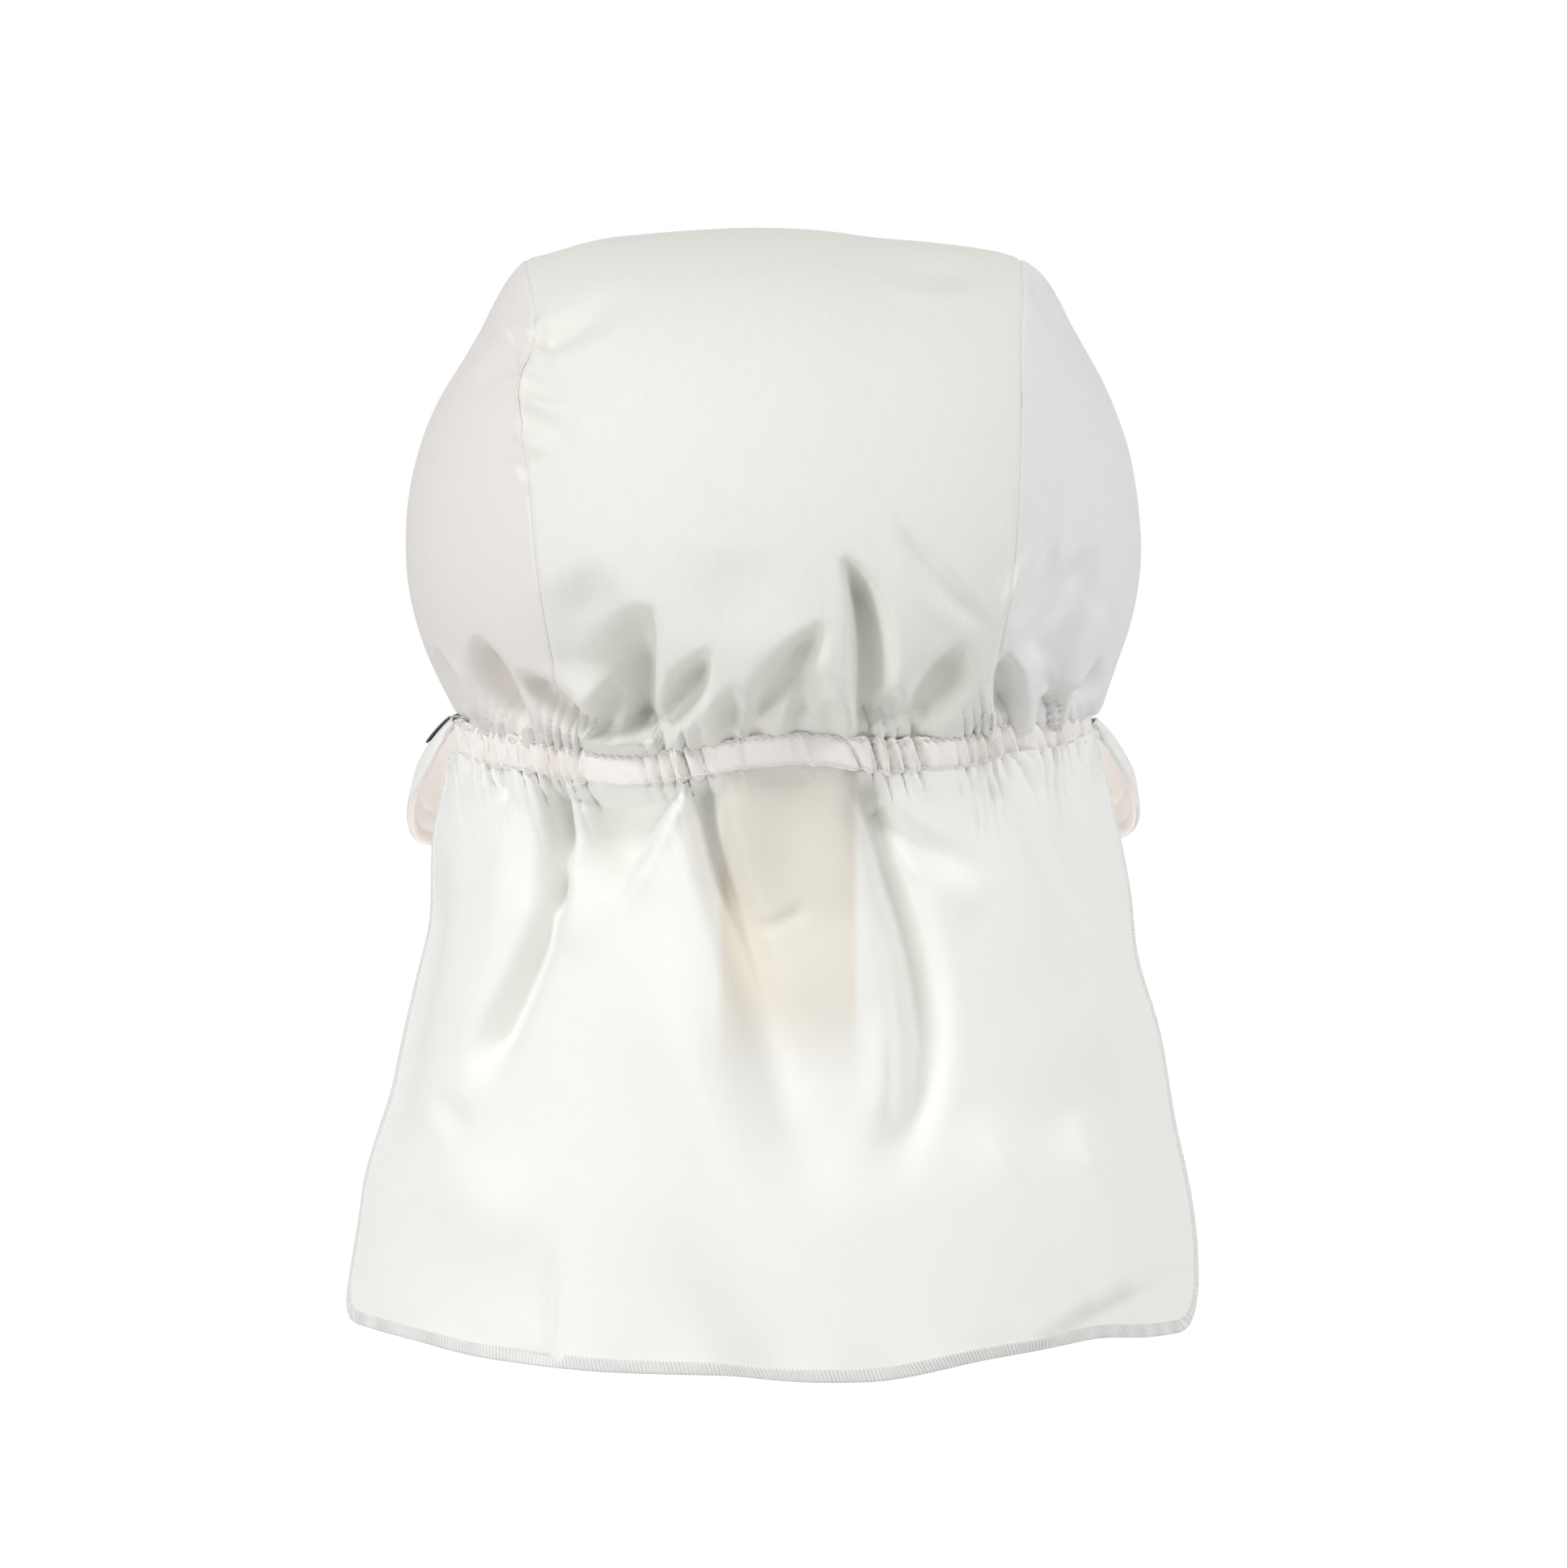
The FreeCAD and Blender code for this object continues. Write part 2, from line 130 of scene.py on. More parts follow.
def nape_height(x):
    """How far the casing's middle lies above or below the origin, along the nape."""
    knots = [(-80, 0.8), (-66, -0.8), (-54, -1.8), (-45, -3.2), (-36, -4.0), (-27, -2.8),
             (-16, -0.8), (-5, 1.0), (8, 1.9), (18, 0.8), (26, -0.1), (37, 0.1), (46, 0.6),
             (54, 2.2), (66, 3.0), (80, 3.2)]
    return curve_mm(knots, x)


def crown_arch(along):
    """Side view of the crown's middle line, from the nape to the brow."""
    line = np.array([
        (-83, 4.4), (-89, 6.0), (-94.6, 9.4), (-99.4, 15.5), (-102.3, 25), (-103.2, 37), (-102, 54),
        (-98, 70), (-91, 85), (-79, 99.5), (-63, 111), (-43, 119), (-20, 123.8), (3, 125),
        (27, 123.2), (49, 117.5), (68, 108.5), (83, 96), (94, 80), (100.5, 62), (102, 45),
        (100, 28), (94, 14), (83, 4.4),
    ]) * mm
    run = run_along(line)
    at = along * run[-1]
    return smooth_curve(list(zip(run, line[:, 0])), at), smooth_curve(list(zip(run, line[:, 1])), at)


def seam_place(side, height):
    """Distance of a crown seam from the middle at each height; the left one has a small tuck."""
    left = [(4.4, 45.5), (9, 48.5), (14, 51), (22, 52.3), (30, 53.6), (40, 54.8), (50, 56),
            (60, 57.0), (70, 58.4), (80, 59.6), (86, 60.0), (90.5, 59.4), (94, 57.8), (97.5, 56.5),
            (102, 56.7), (108, 58), (113, 59.4), (117, 60.6)]
    right = [(4.4, 47.5), (9, 50), (16, 52), (25, 53.4), (40, 56), (60, 57.8), (75, 58.6),
             (90, 59), (102, 59.6), (110, 60.2), (117, 60.6)]
    knots = left if side < 0 else right
    return curve_mm(knots, height)


def crown_top_line(x):
    knots = [(-61, 116.6), (-54, 118.4), (-47, 120.5), (-40, 122.0), (-33, 122.7), (-21, 123.7),
             (-4, 124.4), (12, 123.7), (26, 121.9), (38, 120.9), (50, 119.4), (55, 118.5), (61, 116.7)]
    return curve_mm(knots, x)


def centre_panel_base(across, along):
    y, z = crown_arch(along)
    rise = (z - CROWN_FOOT) / (APEX - CROWN_FOOT)
    seam_height = CROWN_FOOT + (SEAM_TOP - CROWN_FOOT) * rise
    half = np.where(across < 0, seam_place(-1, seam_height), seam_place(1, seam_height))
    # At the brow both seams end alike.
    half = np.where(y > 0, seam_place(1, seam_height), half)
    x = across * half
    height = CROWN_FOOT + (crown_top_line(x) - CROWN_FOOT) * rise
    round_width = smooth_curve([(0, 77), (0.12, 83), (0.34, 92), (0.7, 88), (1, 82)], rise) * mm
    power = 2 + 0.25 * soft_step(0, 0.3, rise)
    squeeze = (1 - np.abs(x / round_width) ** power) ** (1 / power)
    y = y * squeeze
    height = height + nape_height(x) * soft_step(0, 25 * mm, -y) * (1 - rise) ** 8
    return np.stack([x, y, height], axis=1)


def straight_back(direction):
    """Turn directions towards the wearer's back and front, so that folds keep their place."""
    turned = direction * np.array([0.3, 1.0, 0.45])
    near = soft_step(0.1, 0.5, np.abs(direction[:, 1]))[:, None]
    turned = turned * near + direction * (1 - near)
    return unit(turned)


def relief(x, z, folds, taper, soft=2.0):
    """Sum of several folds, each a path, its width, depth, steepness, shoulder and fades.
    Deep valleys have steeper walls and a flatter floor than shallow ones; soft rounds the rest."""
    d = np.zeros(x.shape)
    for path, width, depth, steep, shoulder, start, end in folds:
        crisp = soft + 0.3 * min(max(-depth / 10, 0), 1)
        d = d + fold(x, z, path, width, depth, crisp, (start, end), steep, shoulder, taper)
    return d


# Folds of the crown's back: path (mm across and up), width, depth, steepness, shoulder, fades.
# A taper is the share of a fold's width at its start, its middle and its end.
CROWN_FOLD_TAPER = (0.3, 1.0, 0.75)
CROWN_FOLDS = [
    ([(-70.5, 28), (-68.5, 20), (-65, 12), (-61, 4)], 3.6, -14.0, 1.0, 0.0, 0.3, 0.02),
    ([(-61, 20), (-54, 13.5), (-44, 5)], 3.2, -11.0, 1.2, 0.0, 0.35, 0.02),
    ([(-28.5, 37), (-30.5, 26), (-31, 14), (-31, 3)], 10.0, -14.0, 3.0, 0.0, 0.25, 0.02),
    ([(-31, 30), (-32.5, 16), (-33, 3)], 4.0, -8.0, 1.4, 0.0, 0.4, 0.02),
    ([(-14.5, 27), (-18, 18), (-23.5, 10), (-27.5, 3)], 4.2, -13.0, 1.6, 0.0, 0.35, 0.02),
    ([(12.5, 33), (8, 26), (0, 15), (-5, 5)], 3.8, -11.5, 1.0, 0.0, 0.3, 0.02),
    ([(16, 49), (20.5, 39), (22.5, 26), (22.5, 14), (21.5, 1)], 3.2, -13.5, 0.8, 0.0, 0.25, 0.02),
    ([(26, 60), (38, 44), (52, 28)], 3.0, -1.8, 1.6, 0.3, 0.4, 0.3),
    ([(45, 28), (42, 20), (36, 10), (33, 3)], 5.0, -12.0, 1.1, 0.0, 0.3, 0.02),
    ([(54.5, 25), (55.5, 17), (56, 5)], 2.8, -9.0, 1.1, 0.1, 0.3, 0.02),
    ([(67.5, 54), (62, 42), (55.5, 29)], 2.2, -2.6, 0.7, 0.3, 0.3, 0.3),
    ([(78, 50), (71, 37), (61, 20)], 5.5, -5.0, 1.2, 0.2, 0.3, 0.2),
    ([(77, 37), (73, 26), (69, 14)], 4.5, 3.2, 1.0, 0.2, 0.3, 0.1),
    ([(80, 22), (76, 14), (72, 5)], 2.6, -6.0, 1.0, 0.2, 0.4, 0.02),
    ([(68, 16), (66, 10), (64, 4)], 2.4, -5.0, 1.0, 0.2, 0.4, 0.02),
    ([(-82, 24), (-79, 14), (-75, 5)], 2.6, -5.0, 1.0, 0.2, 0.4, 0.02),
    ([(-41, 48), (-44, 32), (-46, 12)], 9.0, -5.0, 1.0, 0.0, 0.4, 0.3),
    ([(0, 50), (-8, 38), (-16, 30)], 9.0, -1.4, 1.0, 0.2, 0.4, 0.4),
    ([(-9, 18), (-10, 9), (-10, 3)], 2.8, -7.5, 1.0, 0.1, 0.5, 0.02),
    ([(9, 25), (8, 14), (6, 3)], 4.4, -9.0, 1.0, 0.0, 0.4, 0.02),
    ([(14, 15), (14, 8), (14, 3)], 2.8, -6.0, 1.0, 0.1, 0.5, 0.02),
    ([(29, 18), (28, 9), (28, 3)], 2.8, -8.0, 1.0, 0.1, 0.5, 0.02),
    ([(-39, 18), (-40, 9), (-41, 3)], 3.0, -7.0, 1.0, 0.1, 0.5, 0.02),
]

# The creases that fan out from the small tuck in the left seam, and the faint ones by the seams.
SEAM_CREASE_TAPER = (0.8, 1.0, 1.2)
SEAM_CREASES = [
    ([(-56, 96), (-50, 104), (-45, 112)], 1.8, -1.3, 1.0, 0.4, 0.1, 0.6),
    ([(-56, 95.5), (-46, 103), (-37, 113)], 2.2, -1.5, 1.0, 0.4, 0.1, 0.6),
    ([(-55, 95), (-44, 101), (-30, 113)], 2.8, -1.8, 1.0, 0.4, 0.1, 0.7),
    ([(-72, 88), (-66, 90.5), (-60, 92)], 2.4, -1.6, 1.0, 0.4, 0.4, 0.1),
    ([(-69, 97), (-64, 98.5), (-57, 99.5)], 2.4, 1.5, 1.0, 0.3, 0.4, 0.1),
    ([(-60, 88), (-53, 86), (-46, 85)], 2.2, -1.2, 1.0, 0.4, 0.1, 0.6),
    ([(-60, 80), (-52, 77), (-44, 76)], 2.6, -1.5, 1.0, 0.4, 0.1, 0.6),
    ([(-60, 66), (-54, 70), (-45, 77)], 2.4, -1.5, 1.0, 0.4, 0.1, 0.6),
    ([(24, 117), (38, 113), (54, 116)], 3.0, -1.2, 1.0, 0.4, 0.4, 0.3),
    ([(62, 112), (66, 107), (72, 100)], 2.4, -1.3, 1.0, 0.4, 0.2, 0.5),
]


def pleat_strength(x):
    """How closely the casing is drawn up at each place along the nape."""
    return smooth_curve([(-80, 0.5), (-70, 1.0), (-60, 1.0), (-46, 1.0), (-42, 0.35), (-33, 0.2),
                         (-29, 0.5), (-24, 1.0), (-15, 0.9), (-12, 0.14), (0, 0.06), (15, 0.1),
                         (19, 0.95), (27, 1.0), (34, 0.8), (38, 0.2), (43, 0.2), (47, 0.9),
                         (60, 1.0), (72, 1.0), (80, 0.5)], x / mm)


def pleats(x, lift):
    """Uneven pleats: round ridges between sharp creases, each leaning a little."""
    along = np.arcsin(np.clip(x / (80 * mm), -1, 1)) * 80 * mm
    turn = (along + lift * 0.3) / (4.3 * mm) + 0.7 * np.sin(along / (9.0 * mm) + 1.0)
    turn = turn + 0.5 * np.sin(along / (4.3 * mm))
    ridge = np.abs(np.sin(np.pi * turn)) ** 0.5
    fine = np.abs(np.sin(np.pi * (turn * 1.7 + 0.3 + lift / (14 * mm)))) ** 0.7
    size = 1 + 0.35 * np.sin(turn * 2.4 + 1.0)
    return pleat_strength(x) * size * (0.75 * (ridge - 0.7) + 0.25 * (fine - 0.65))


def crown_relief(p, back_share):
    """Gathers and folds of the crown; the same on both sides of each seam."""
    x, y, z = p.T
    foot = CROWN_FOOT + nape_height(x) * back_share
    above = np.maximum(z - foot, 0)
    round_place = np.arctan2(y, x) * 82 * mm
    slack = SLACK * np.sin(round_place / (3.1 * mm) + np.sin(round_place / (11 * mm)))
    slack = slack * np.exp(-above / SLACK_REACH)
    gathers = GATHER * pleats(x, above) * np.exp(-above / GATHER_REACH) * back_share
    held = 0.3 + 0.7 * soft_step(0, 5 * mm, above)
    folds = relief(x, z, CROWN_FOLDS, CROWN_FOLD_TAPER) * held
    folds = folds + relief(x, z, SEAM_CREASES, SEAM_CREASE_TAPER)
    return folds * back_share + gathers + slack * (1 - back_share)


def crown_outward(p):
    """Direction in which the crown swells, the same for every panel."""
    lean = p / np.array([88 * mm, 103 * mm, 88 * mm]) ** 2
    lean[:, 2] = (p[:, 2] - 34 * mm) / (88 * mm) ** 2
    return straight_back(unit(lean))


def cloth_sheet(name, columns, rows, place, size):
    """Open sheet from a grid: place turns the grid's across and along (0 to 1) into points."""
    bm = bmesh.new()
    bmesh.ops.create_grid(bm, x_segments=columns, y_segments=rows, size=0.5, calc_uvs=True)
    mesh = bpy.data.meshes.new(name)
    if not bm.loops.layers.uv:
        bm.loops.layers.uv.new("UVMap")
    uv = bm.loops.layers.uv[0]
    for face in bm.faces:
        face.smooth = True
        for loop in face.loops:
            loop[uv].uv = ((loop.vert.co.x + 0.5) * size[0], (loop.vert.co.y + 0.5) * size[1])
    bm.to_mesh(mesh)
    bm.free()
    co = np.zeros(len(mesh.vertices) * 3)
    mesh.vertices.foreach_get("co", co)
    co = co.reshape(-1, 3)
    points = place(co[:, 0] + 0.5, co[:, 1] + 0.5)
    mesh.vertices.foreach_set("co", points.ravel())
    mesh.update()
    obj = bpy.data.objects.new(name, mesh)
    bpy.context.scene.collection.objects.link(obj)
    return obj


def surface_normal(base, across, along, inside):
    """Unit normals of a surface given by a function, turned away from a point inside it."""
    step = 0.002
    a0, a1 = np.clip(across - step, 0, 1), np.clip(across + step, 0, 1)
    b0, b1 = np.clip(along - step, 0, 1), np.clip(along + step, 0, 1)
    side = base(a1, along) - base(a0, along)
    up = base(across, b1) - base(across, b0)
    normal = np.cross(side, up)
    normal = normal / np.maximum(np.linalg.norm(normal, axis=1), 1e-12)[:, None]
    outward = base(across, along) - np.array(inside)
    flip = np.sign((normal * outward).sum(axis=1))
    return normal * np.where(flip == 0, 1, flip)[:, None]


def edge_spread(share):
    """Places from 0 to 1 that lie closer together near both ends."""
    crowding = 0.11
    return share - crowding * np.sin(2 * np.pi * share)


def face_outwards(obj, inside):
    """Turn an open sheet's faces away from a point inside the cap."""
    bm = bmesh.new()
    bm.from_mesh(obj.data)
    bmesh.ops.recalc_face_normals(bm, faces=bm.faces)
    total = 0.0
    for face in bm.faces:
        total += face.calc_area() * face.normal.dot(face.calc_center_median() - Vector(inside))
    if total < 0:
        bmesh.ops.reverse_faces(bm, faces=bm.faces)
    bm.to_mesh(obj.data)
    bm.free()


def cloth_piece(name, columns, rows, place, size, inside, thickness, material, outside=-1.0):
    """Cloth sheet with its faces turned away from a point inside, its thickness and its material."""
    obj = cloth_sheet(name, columns, rows, place, size)
    face_outwards(obj, inside)
    solid = obj.modifiers.new("Cloth thickness", "SOLIDIFY")
    solid.thickness = thickness
    solid.offset = outside
    solid.use_even_offset = False
    obj.data.materials.append(material)
    return obj


CROWN_MIDDLE = (0, 0, 45 * mm)
CENTRE_FLAT = (122 * mm, 385 * mm)
SEAM_DIP = 0.45 * mm
SEAM_GROOVE = 0.7 * mm
FOOT_TUCK = 1.3 * mm
FOOT_SINK = 2.4 * mm
FOOT_REACH = 2.0 * mm


def sewn_edges(p, from_seam):
    """Move a crown panel's points from its plain shape to its gathered and sewn one."""
    x, y, z = p.T
    back_share = soft_step(10 * mm, 40 * mm, -y)
    foot = CROWN_FOOT + nape_height(x) * back_share
    dip = SEAM_DIP * np.exp(-(from_seam / SEAM_GROOVE) ** 2)
    at_foot = soft_step(FOOT_REACH, 0, np.maximum(z - foot, 0))
    d = crown_relief(p, back_share) - dip - FOOT_TUCK * at_foot
    moved = p + crown_outward(p) * d[:, None]
    moved[:, 2] -= FOOT_SINK * at_foot * back_share
    return moved


def centre_panel(share_across, share_along):
    across = edge_spread(share_across)
    p = centre_panel_base(2 * across - 1, share_along)
    edge = np.minimum(across, 1 - across) * CENTRE_FLAT[0]
    return sewn_edges(p, edge)


def feed(tree, value, socket):
    """Link a socket to another, or set it to a plain number or colour."""
    if hasattr(value, "links"):
        tree.links.new(value, socket)
    elif isinstance(value, tuple):
        socket.default_value = (*value, 1)
    else:
        socket.default_value = value


def math_node(tree, operation, a, b=0.0):
    node = tree.nodes.new("ShaderNodeMath")
    node.operation = operation
    feed(tree, a, node.inputs[0])
    feed(tree, b, node.inputs[1])
    return node.outputs[0]


def split_coordinates(tree, kind):
    """The three parts of a texture coordinate."""
    coords = tree.nodes.new("ShaderNodeTexCoord")
    parts = tree.nodes.new("ShaderNodeSeparateXYZ")
    tree.links.new(coords.outputs[kind], parts.inputs[0])
    return parts.outputs


def noise_node(tree, vector, scale, detail):
    node = tree.nodes.new("ShaderNodeTexNoise")
    node.inputs["Scale"].default_value = scale
    node.inputs["Detail"].default_value = detail
    tree.links.new(vector, node.inputs["Vector"])
    return node.outputs[0]


def range_node(tree, value, from_range, to_range=(0.0, 1.0), kind="LINEAR"):
    node = tree.nodes.new("ShaderNodeMapRange")
    node.interpolation_type = kind
    for name, number in zip(("From Min", "From Max", "To Min", "To Max"), (*from_range, *to_range)):
        node.inputs[name].default_value = number
    tree.links.new(value, node.inputs["Value"])
    return node.outputs[0]


def colour_mix(tree, share, first, second, kind="MIX"):
    node = tree.nodes.new("ShaderNodeMix")
    node.data_type = "RGBA"
    node.blend_type = kind
    tree.links.new(share, node.inputs[0])
    feed(tree, first, node.inputs[6])
    feed(tree, second, node.inputs[7])
    return node.outputs[2]


def bump_node(tree, height, strength, distance):
    node = tree.nodes.new("ShaderNodeBump")
    node.inputs["Strength"].default_value = strength
    node.inputs["Distance"].default_value = distance
    tree.links.new(height, node.inputs["Height"])
    return node


def weave_group():
    """Plain weave: threads over and under each other. Puts out a height and a thread tint."""
    group = bpy.data.node_groups.new("Plain weave", "ShaderNodeTree")
    face = group.interface
    face.new_socket("Vector", in_out="INPUT", socket_type="NodeSocketVector")
    pitch = face.new_socket("Threads per metre", in_out="INPUT", socket_type="NodeSocketFloat")
    pitch.default_value = 3300
    for output in ("Height", "Thread tint", "Crumple"):
        face.new_socket(output, in_out="OUTPUT", socket_type="NodeSocketFloat")
    nodes, links = group.nodes, group.links
    inputs = nodes.new("NodeGroupInput")
    outputs = nodes.new("NodeGroupOutput")
    place = inputs.outputs["Vector"]
    parts = nodes.new("ShaderNodeSeparateXYZ")
    links.new(place, parts.inputs[0])
    phase = math_node(group, "MULTIPLY", inputs.outputs["Threads per metre"], np.pi)
    waver = math_node(group, "MULTIPLY", noise_node(group, place, 160, 3), 5.0)
    threads = []
    for axis in (0, 1):
        turn = math_node(group, "MULTIPLY", parts.outputs[axis], phase)
        threads.append(math_node(group, "SINE", math_node(group, "ADD", turn, waver)))
    over = math_node(group, "MULTIPLY", threads[0], threads[1])
    checks = math_node(group, "MULTIPLY", math_node(group, "ADD", over, 1.0), 0.5)
    mix = nodes.new("ShaderNodeMix")
    mix.data_type = "FLOAT"
    links.new(checks, mix.inputs[0])
    links.new(math_node(group, "ABSOLUTE", threads[0]), mix.inputs[2])
    links.new(math_node(group, "ABSOLUTE", threads[1]), mix.inputs[3])
    links.new(mix.outputs[0], outputs.inputs["Height"])
    stretch = nodes.new("ShaderNodeMapping")
    stretch.inputs["Scale"].default_value = (1.0, 0.15, 1.0)
    links.new(place, stretch.inputs["Vector"])
    links.new(noise_node(group, stretch.outputs[0], 900, 2), outputs.inputs["Thread tint"])
    links.new(noise_node(group, place, 70, 4), outputs.inputs["Crumple"])
    return group


plain_weave = weave_group()


def cotton(name, pale, deep, roughness=0.75, weave_depth=0.05, crumple_depth=0.35, sheen=0.15,
           through=0.0):
    """Fine cotton cloth: weave and faint crumpling in its bump, thread by thread colour.
    through is the share of light that passes into the cloth and out at its other face."""
    material = bpy.data.materials.new(name)
    material.use_nodes = True
    nodes, links = material.node_tree.nodes, material.node_tree.links
    shader = nodes["Principled BSDF"]
    looks = {"Sheen Weight": sheen, "Sheen Roughness": 0.4, "Specular IOR Level": 0.3,
             "Subsurface Weight": through, "Subsurface Radius": (1.0, 0.8, 0.65),
             "Subsurface Scale": 1.2 * mm}
    for socket, value in looks.items():
        shader.inputs[socket].default_value = value
    coords = nodes.new("ShaderNodeTexCoord")
    weave = nodes.new("ShaderNodeGroup")
    weave.node_tree = plain_weave
    links.new(coords.outputs["UV"], weave.inputs["Vector"])
    tree = material.node_tree
    thread_share = range_node(tree, weave.outputs["Thread tint"], (0.3, 0.6))
    links.new(colour_mix(tree, thread_share, deep, pale), shader.inputs["Base Color"])
    rough = range_node(tree, weave.outputs["Crumple"], (0.0, 1.0), (roughness - 0.08, roughness + 0.08))
    links.new(rough, shader.inputs["Roughness"])
    threads = bump_node(tree, weave.outputs["Height"], weave_depth, 0.1 * mm)
    soft = bump_node(tree, weave.outputs["Crumple"], crumple_depth, 0.4 * mm)
    links.new(threads.outputs[0], soft.inputs["Normal"])
    links.new(soft.outputs[0], shader.inputs["Normal"])
    return material


white_poplin = cotton("White poplin", (0.865, 0.865, 0.815), (0.85, 0.85, 0.80))
# Painted light and shade: the two side panels are copies of one poplin, the left one painted lighter
# and warmer and the right one greyer, as light falls on each side.
side_poplins_painted_light = {-1: cotton("Left side poplin, painted warm light", (0.875, 0.845, 0.81), (0.86, 0.83, 0.795)),
                1: cotton("Right side poplin, painted shade", (0.86, 0.86, 0.845), (0.845, 0.845, 0.83))}
crown_centre = cloth_piece("crown_centre", 170, 340, centre_panel, CENTRE_FLAT, CROWN_MIDDLE,
                           CROWN_CLOTH, white_poplin)
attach(crown_centre, "cap")
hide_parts("crown_centre_panel")

# --- Crown, side panels ---
# Two D-shaped panels of the same poplin. Their curved edge is sewn to the centre panel, and
# their straight foot goes into the casing behind the temple and into the visor seam before it.

SIDE_FLAT = (205 * mm, 150 * mm)


def side_swell(side, z):
    """Half width of the crown at each height, beside the temple."""
    left = [(0, 74), (4.4, 76.2), (8, 78.4), (12.6, 81.0), (21, 85.0), (31, 88.2), (38, 89.5),
            (45, 90), (54, 89.8), (62, 88.8), (69, 87.1), (77, 84.4), (84, 81.0), (91, 76.6),
            (99, 71.8), (106, 68.3), (110, 66.1), (113.6, 63.6), (117, 60.6)]
    right = [(0, 76), (4.4, 78.4), (8, 80.4), (13, 82.3), (20, 84.9), (28, 87.6), (36, 89.3),
             (45, 90.1), (54, 89.7), (62, 88.7), (70, 87.1), (78, 84.5), (86, 81.1), (94, 76.8),
             (101, 72.8), (107, 69.8), (111, 67.4), (114.4, 64.4), (117, 60.6)]
    knots = left if side < 0 else right
    return curve_mm(knots, z)


ARCH_SAMPLES = np.linspace(0, 1, 801)


def side_panel_maker(side):
    """Shape of one side panel, between the seam's points from nape to brow and the casing."""
    track = centre_panel_base(np.full(ARCH_SAMPLES.shape, float(side)), ARCH_SAMPLES)
    top = int(np.argmax(track[:, 2]))
    back, front = track[: top + 1], track[top:][::-1]
    run = run_along(track)
    run = run / run[-1]
    low_corner, high_corner = 0.27, 0.73

    def seam_at(share):
        y = np.interp(share, run, track[:, 1])
        z = np.interp(share, run, track[:, 2])
        return np.stack([y, z], axis=1)

    def outline(share_along, share_up):
        """Blend of the four edges of the D, in the side view."""
        u, v = share_along[:, None], share_up[:, None]
        foot_back, foot_front = seam_at(np.zeros(1))[0], seam_at(np.ones(1))[0]
        foot = foot_back + (foot_front - foot_back) * u
        head = seam_at(low_corner + (high_corner - low_corner) * share_along)
        left = seam_at(low_corner * share_up)
        right = seam_at(1 - (1 - high_corner) * share_up)
        head_back, head_front = seam_at(np.array([low_corner]))[0], seam_at(np.array([high_corner]))[0]
        corners = (foot_back * (1 - u) * (1 - v) + foot_front * u * (1 - v)
                   + head_back * (1 - u) * v + head_front * u * v)
        return foot * (1 - v) + head * v + left * (1 - u) + right * u - corners

    def base(share_along, share_up):
        yz = outline(share_along, share_up)
        y, z = yz[:, 0], yz[:, 1]
        y_back = np.interp(z, back[:, 2], back[:, 1])
        y_front = np.interp(z, front[:, 2], front[:, 1])
        middle, half = (y_back + y_front) / 2, np.maximum((y_front - y_back) / 2, 0.5 * mm)
        t = np.clip(np.abs(y - middle) / half, 0, 1)
        x_seam = np.where(y < middle, np.abs(np.interp(z, back[:, 2], back[:, 0])),
                          np.abs(np.interp(z, front[:, 2], front[:, 0])))
        x = x_seam + (side_swell(side, z) - x_seam) * (1 - t ** 2.3)
        return np.stack([side * x, y, z], axis=1)

    def panel(share_across, share_up):
        along, up = edge_spread(share_across), edge_spread(share_up)
        p = base(along, up)
        gap = np.linalg.norm(p - base(along, np.ones(up.shape)), axis=1)
        for end in (np.zeros(up.shape), np.ones(up.shape)):
            gap = np.minimum(gap, np.linalg.norm(p - base(end, up), axis=1))
        return sewn_edges(p, gap)

    return panel


SIDE_PANELS = ((-1, "crown_left", "crown_left_panel"), (1, "crown_right", "crown_right_panel"))
for side, name, node in SIDE_PANELS:
    panel = cloth_piece(name, 170, 130, side_panel_maker(side), SIDE_FLAT, CROWN_MIDDLE,
                        CROWN_CLOTH, side_poplins_painted_light[side])
    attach(panel, "cap")
    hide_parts(node)

# --- Seam allowances inside the crown ---
# Behind each crown seam the two raw edges are overlocked together with white thread, and
# pressed towards the centre panel.

ALLOWANCE_WIDTH = 5 * mm
ALLOWANCE_THICK = 0.6 * mm
sewing_thread = cotton("Sewing thread", (0.88, 0.88, 0.87), (0.80, 0.80, 0.79), weave_depth=0.3,
                       crumple_depth=0.1)
for side, node in ((-1, "left_seam_overlock"), (1, "right_seam_overlock")):
    def allowance(share_across, share_along):
        across = side * (1 + (0.8 * mm - ALLOWANCE_WIDTH * share_across) * 2 / CENTRE_FLAT[0])
        along = 0.01 + 0.98 * share_along
        p = centre_panel_base(across, along)
        edge = (1 - np.abs(across)) / 2 * CENTRE_FLAT[0]
        ridge = 0.12 * mm * np.sin(along * CENTRE_FLAT[1] / (0.45 * mm) + 9 * share_across)
        return sewn_edges(p, edge) - crown_outward(p) * (1.5 * mm + ridge)[:, None]

    strip = cloth_piece(node + "_thread", 8, 900, allowance, (ALLOWANCE_WIDTH, CENTRE_FLAT[1]),
                        CROWN_MIDDLE, ALLOWANCE_THICK, sewing_thread)
    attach(strip, "cap")
    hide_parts(node)

# --- Elastic casing ---
# A folded strip of the same cotton round 6 mm elastic. The elastic draws it up into close
# uneven pleats, except where the care label's seam holds it flat.

CASING_START = 187
CASING_END = 353
CASING_HALF = 3.9 * mm
CASING_LENGTH = 230 * mm
CASING_THICK = 1.5 * mm
CASING_INSET = 0.4 * mm
CASING_PLEAT = 5.0 * mm
CASING_PINCH = 2.0 * mm


def nape_arc(share, outset=0.0):
    a = np.radians(CASING_START + (CASING_END - CASING_START) * share)
    return np.stack([(RING_WIDTH + outset) * np.cos(a), (RING_LENGTH + outset) * np.sin(a)], axis=1)


def pleat_height(x, z):
    return CASING_PLEAT * pleats(x, z)


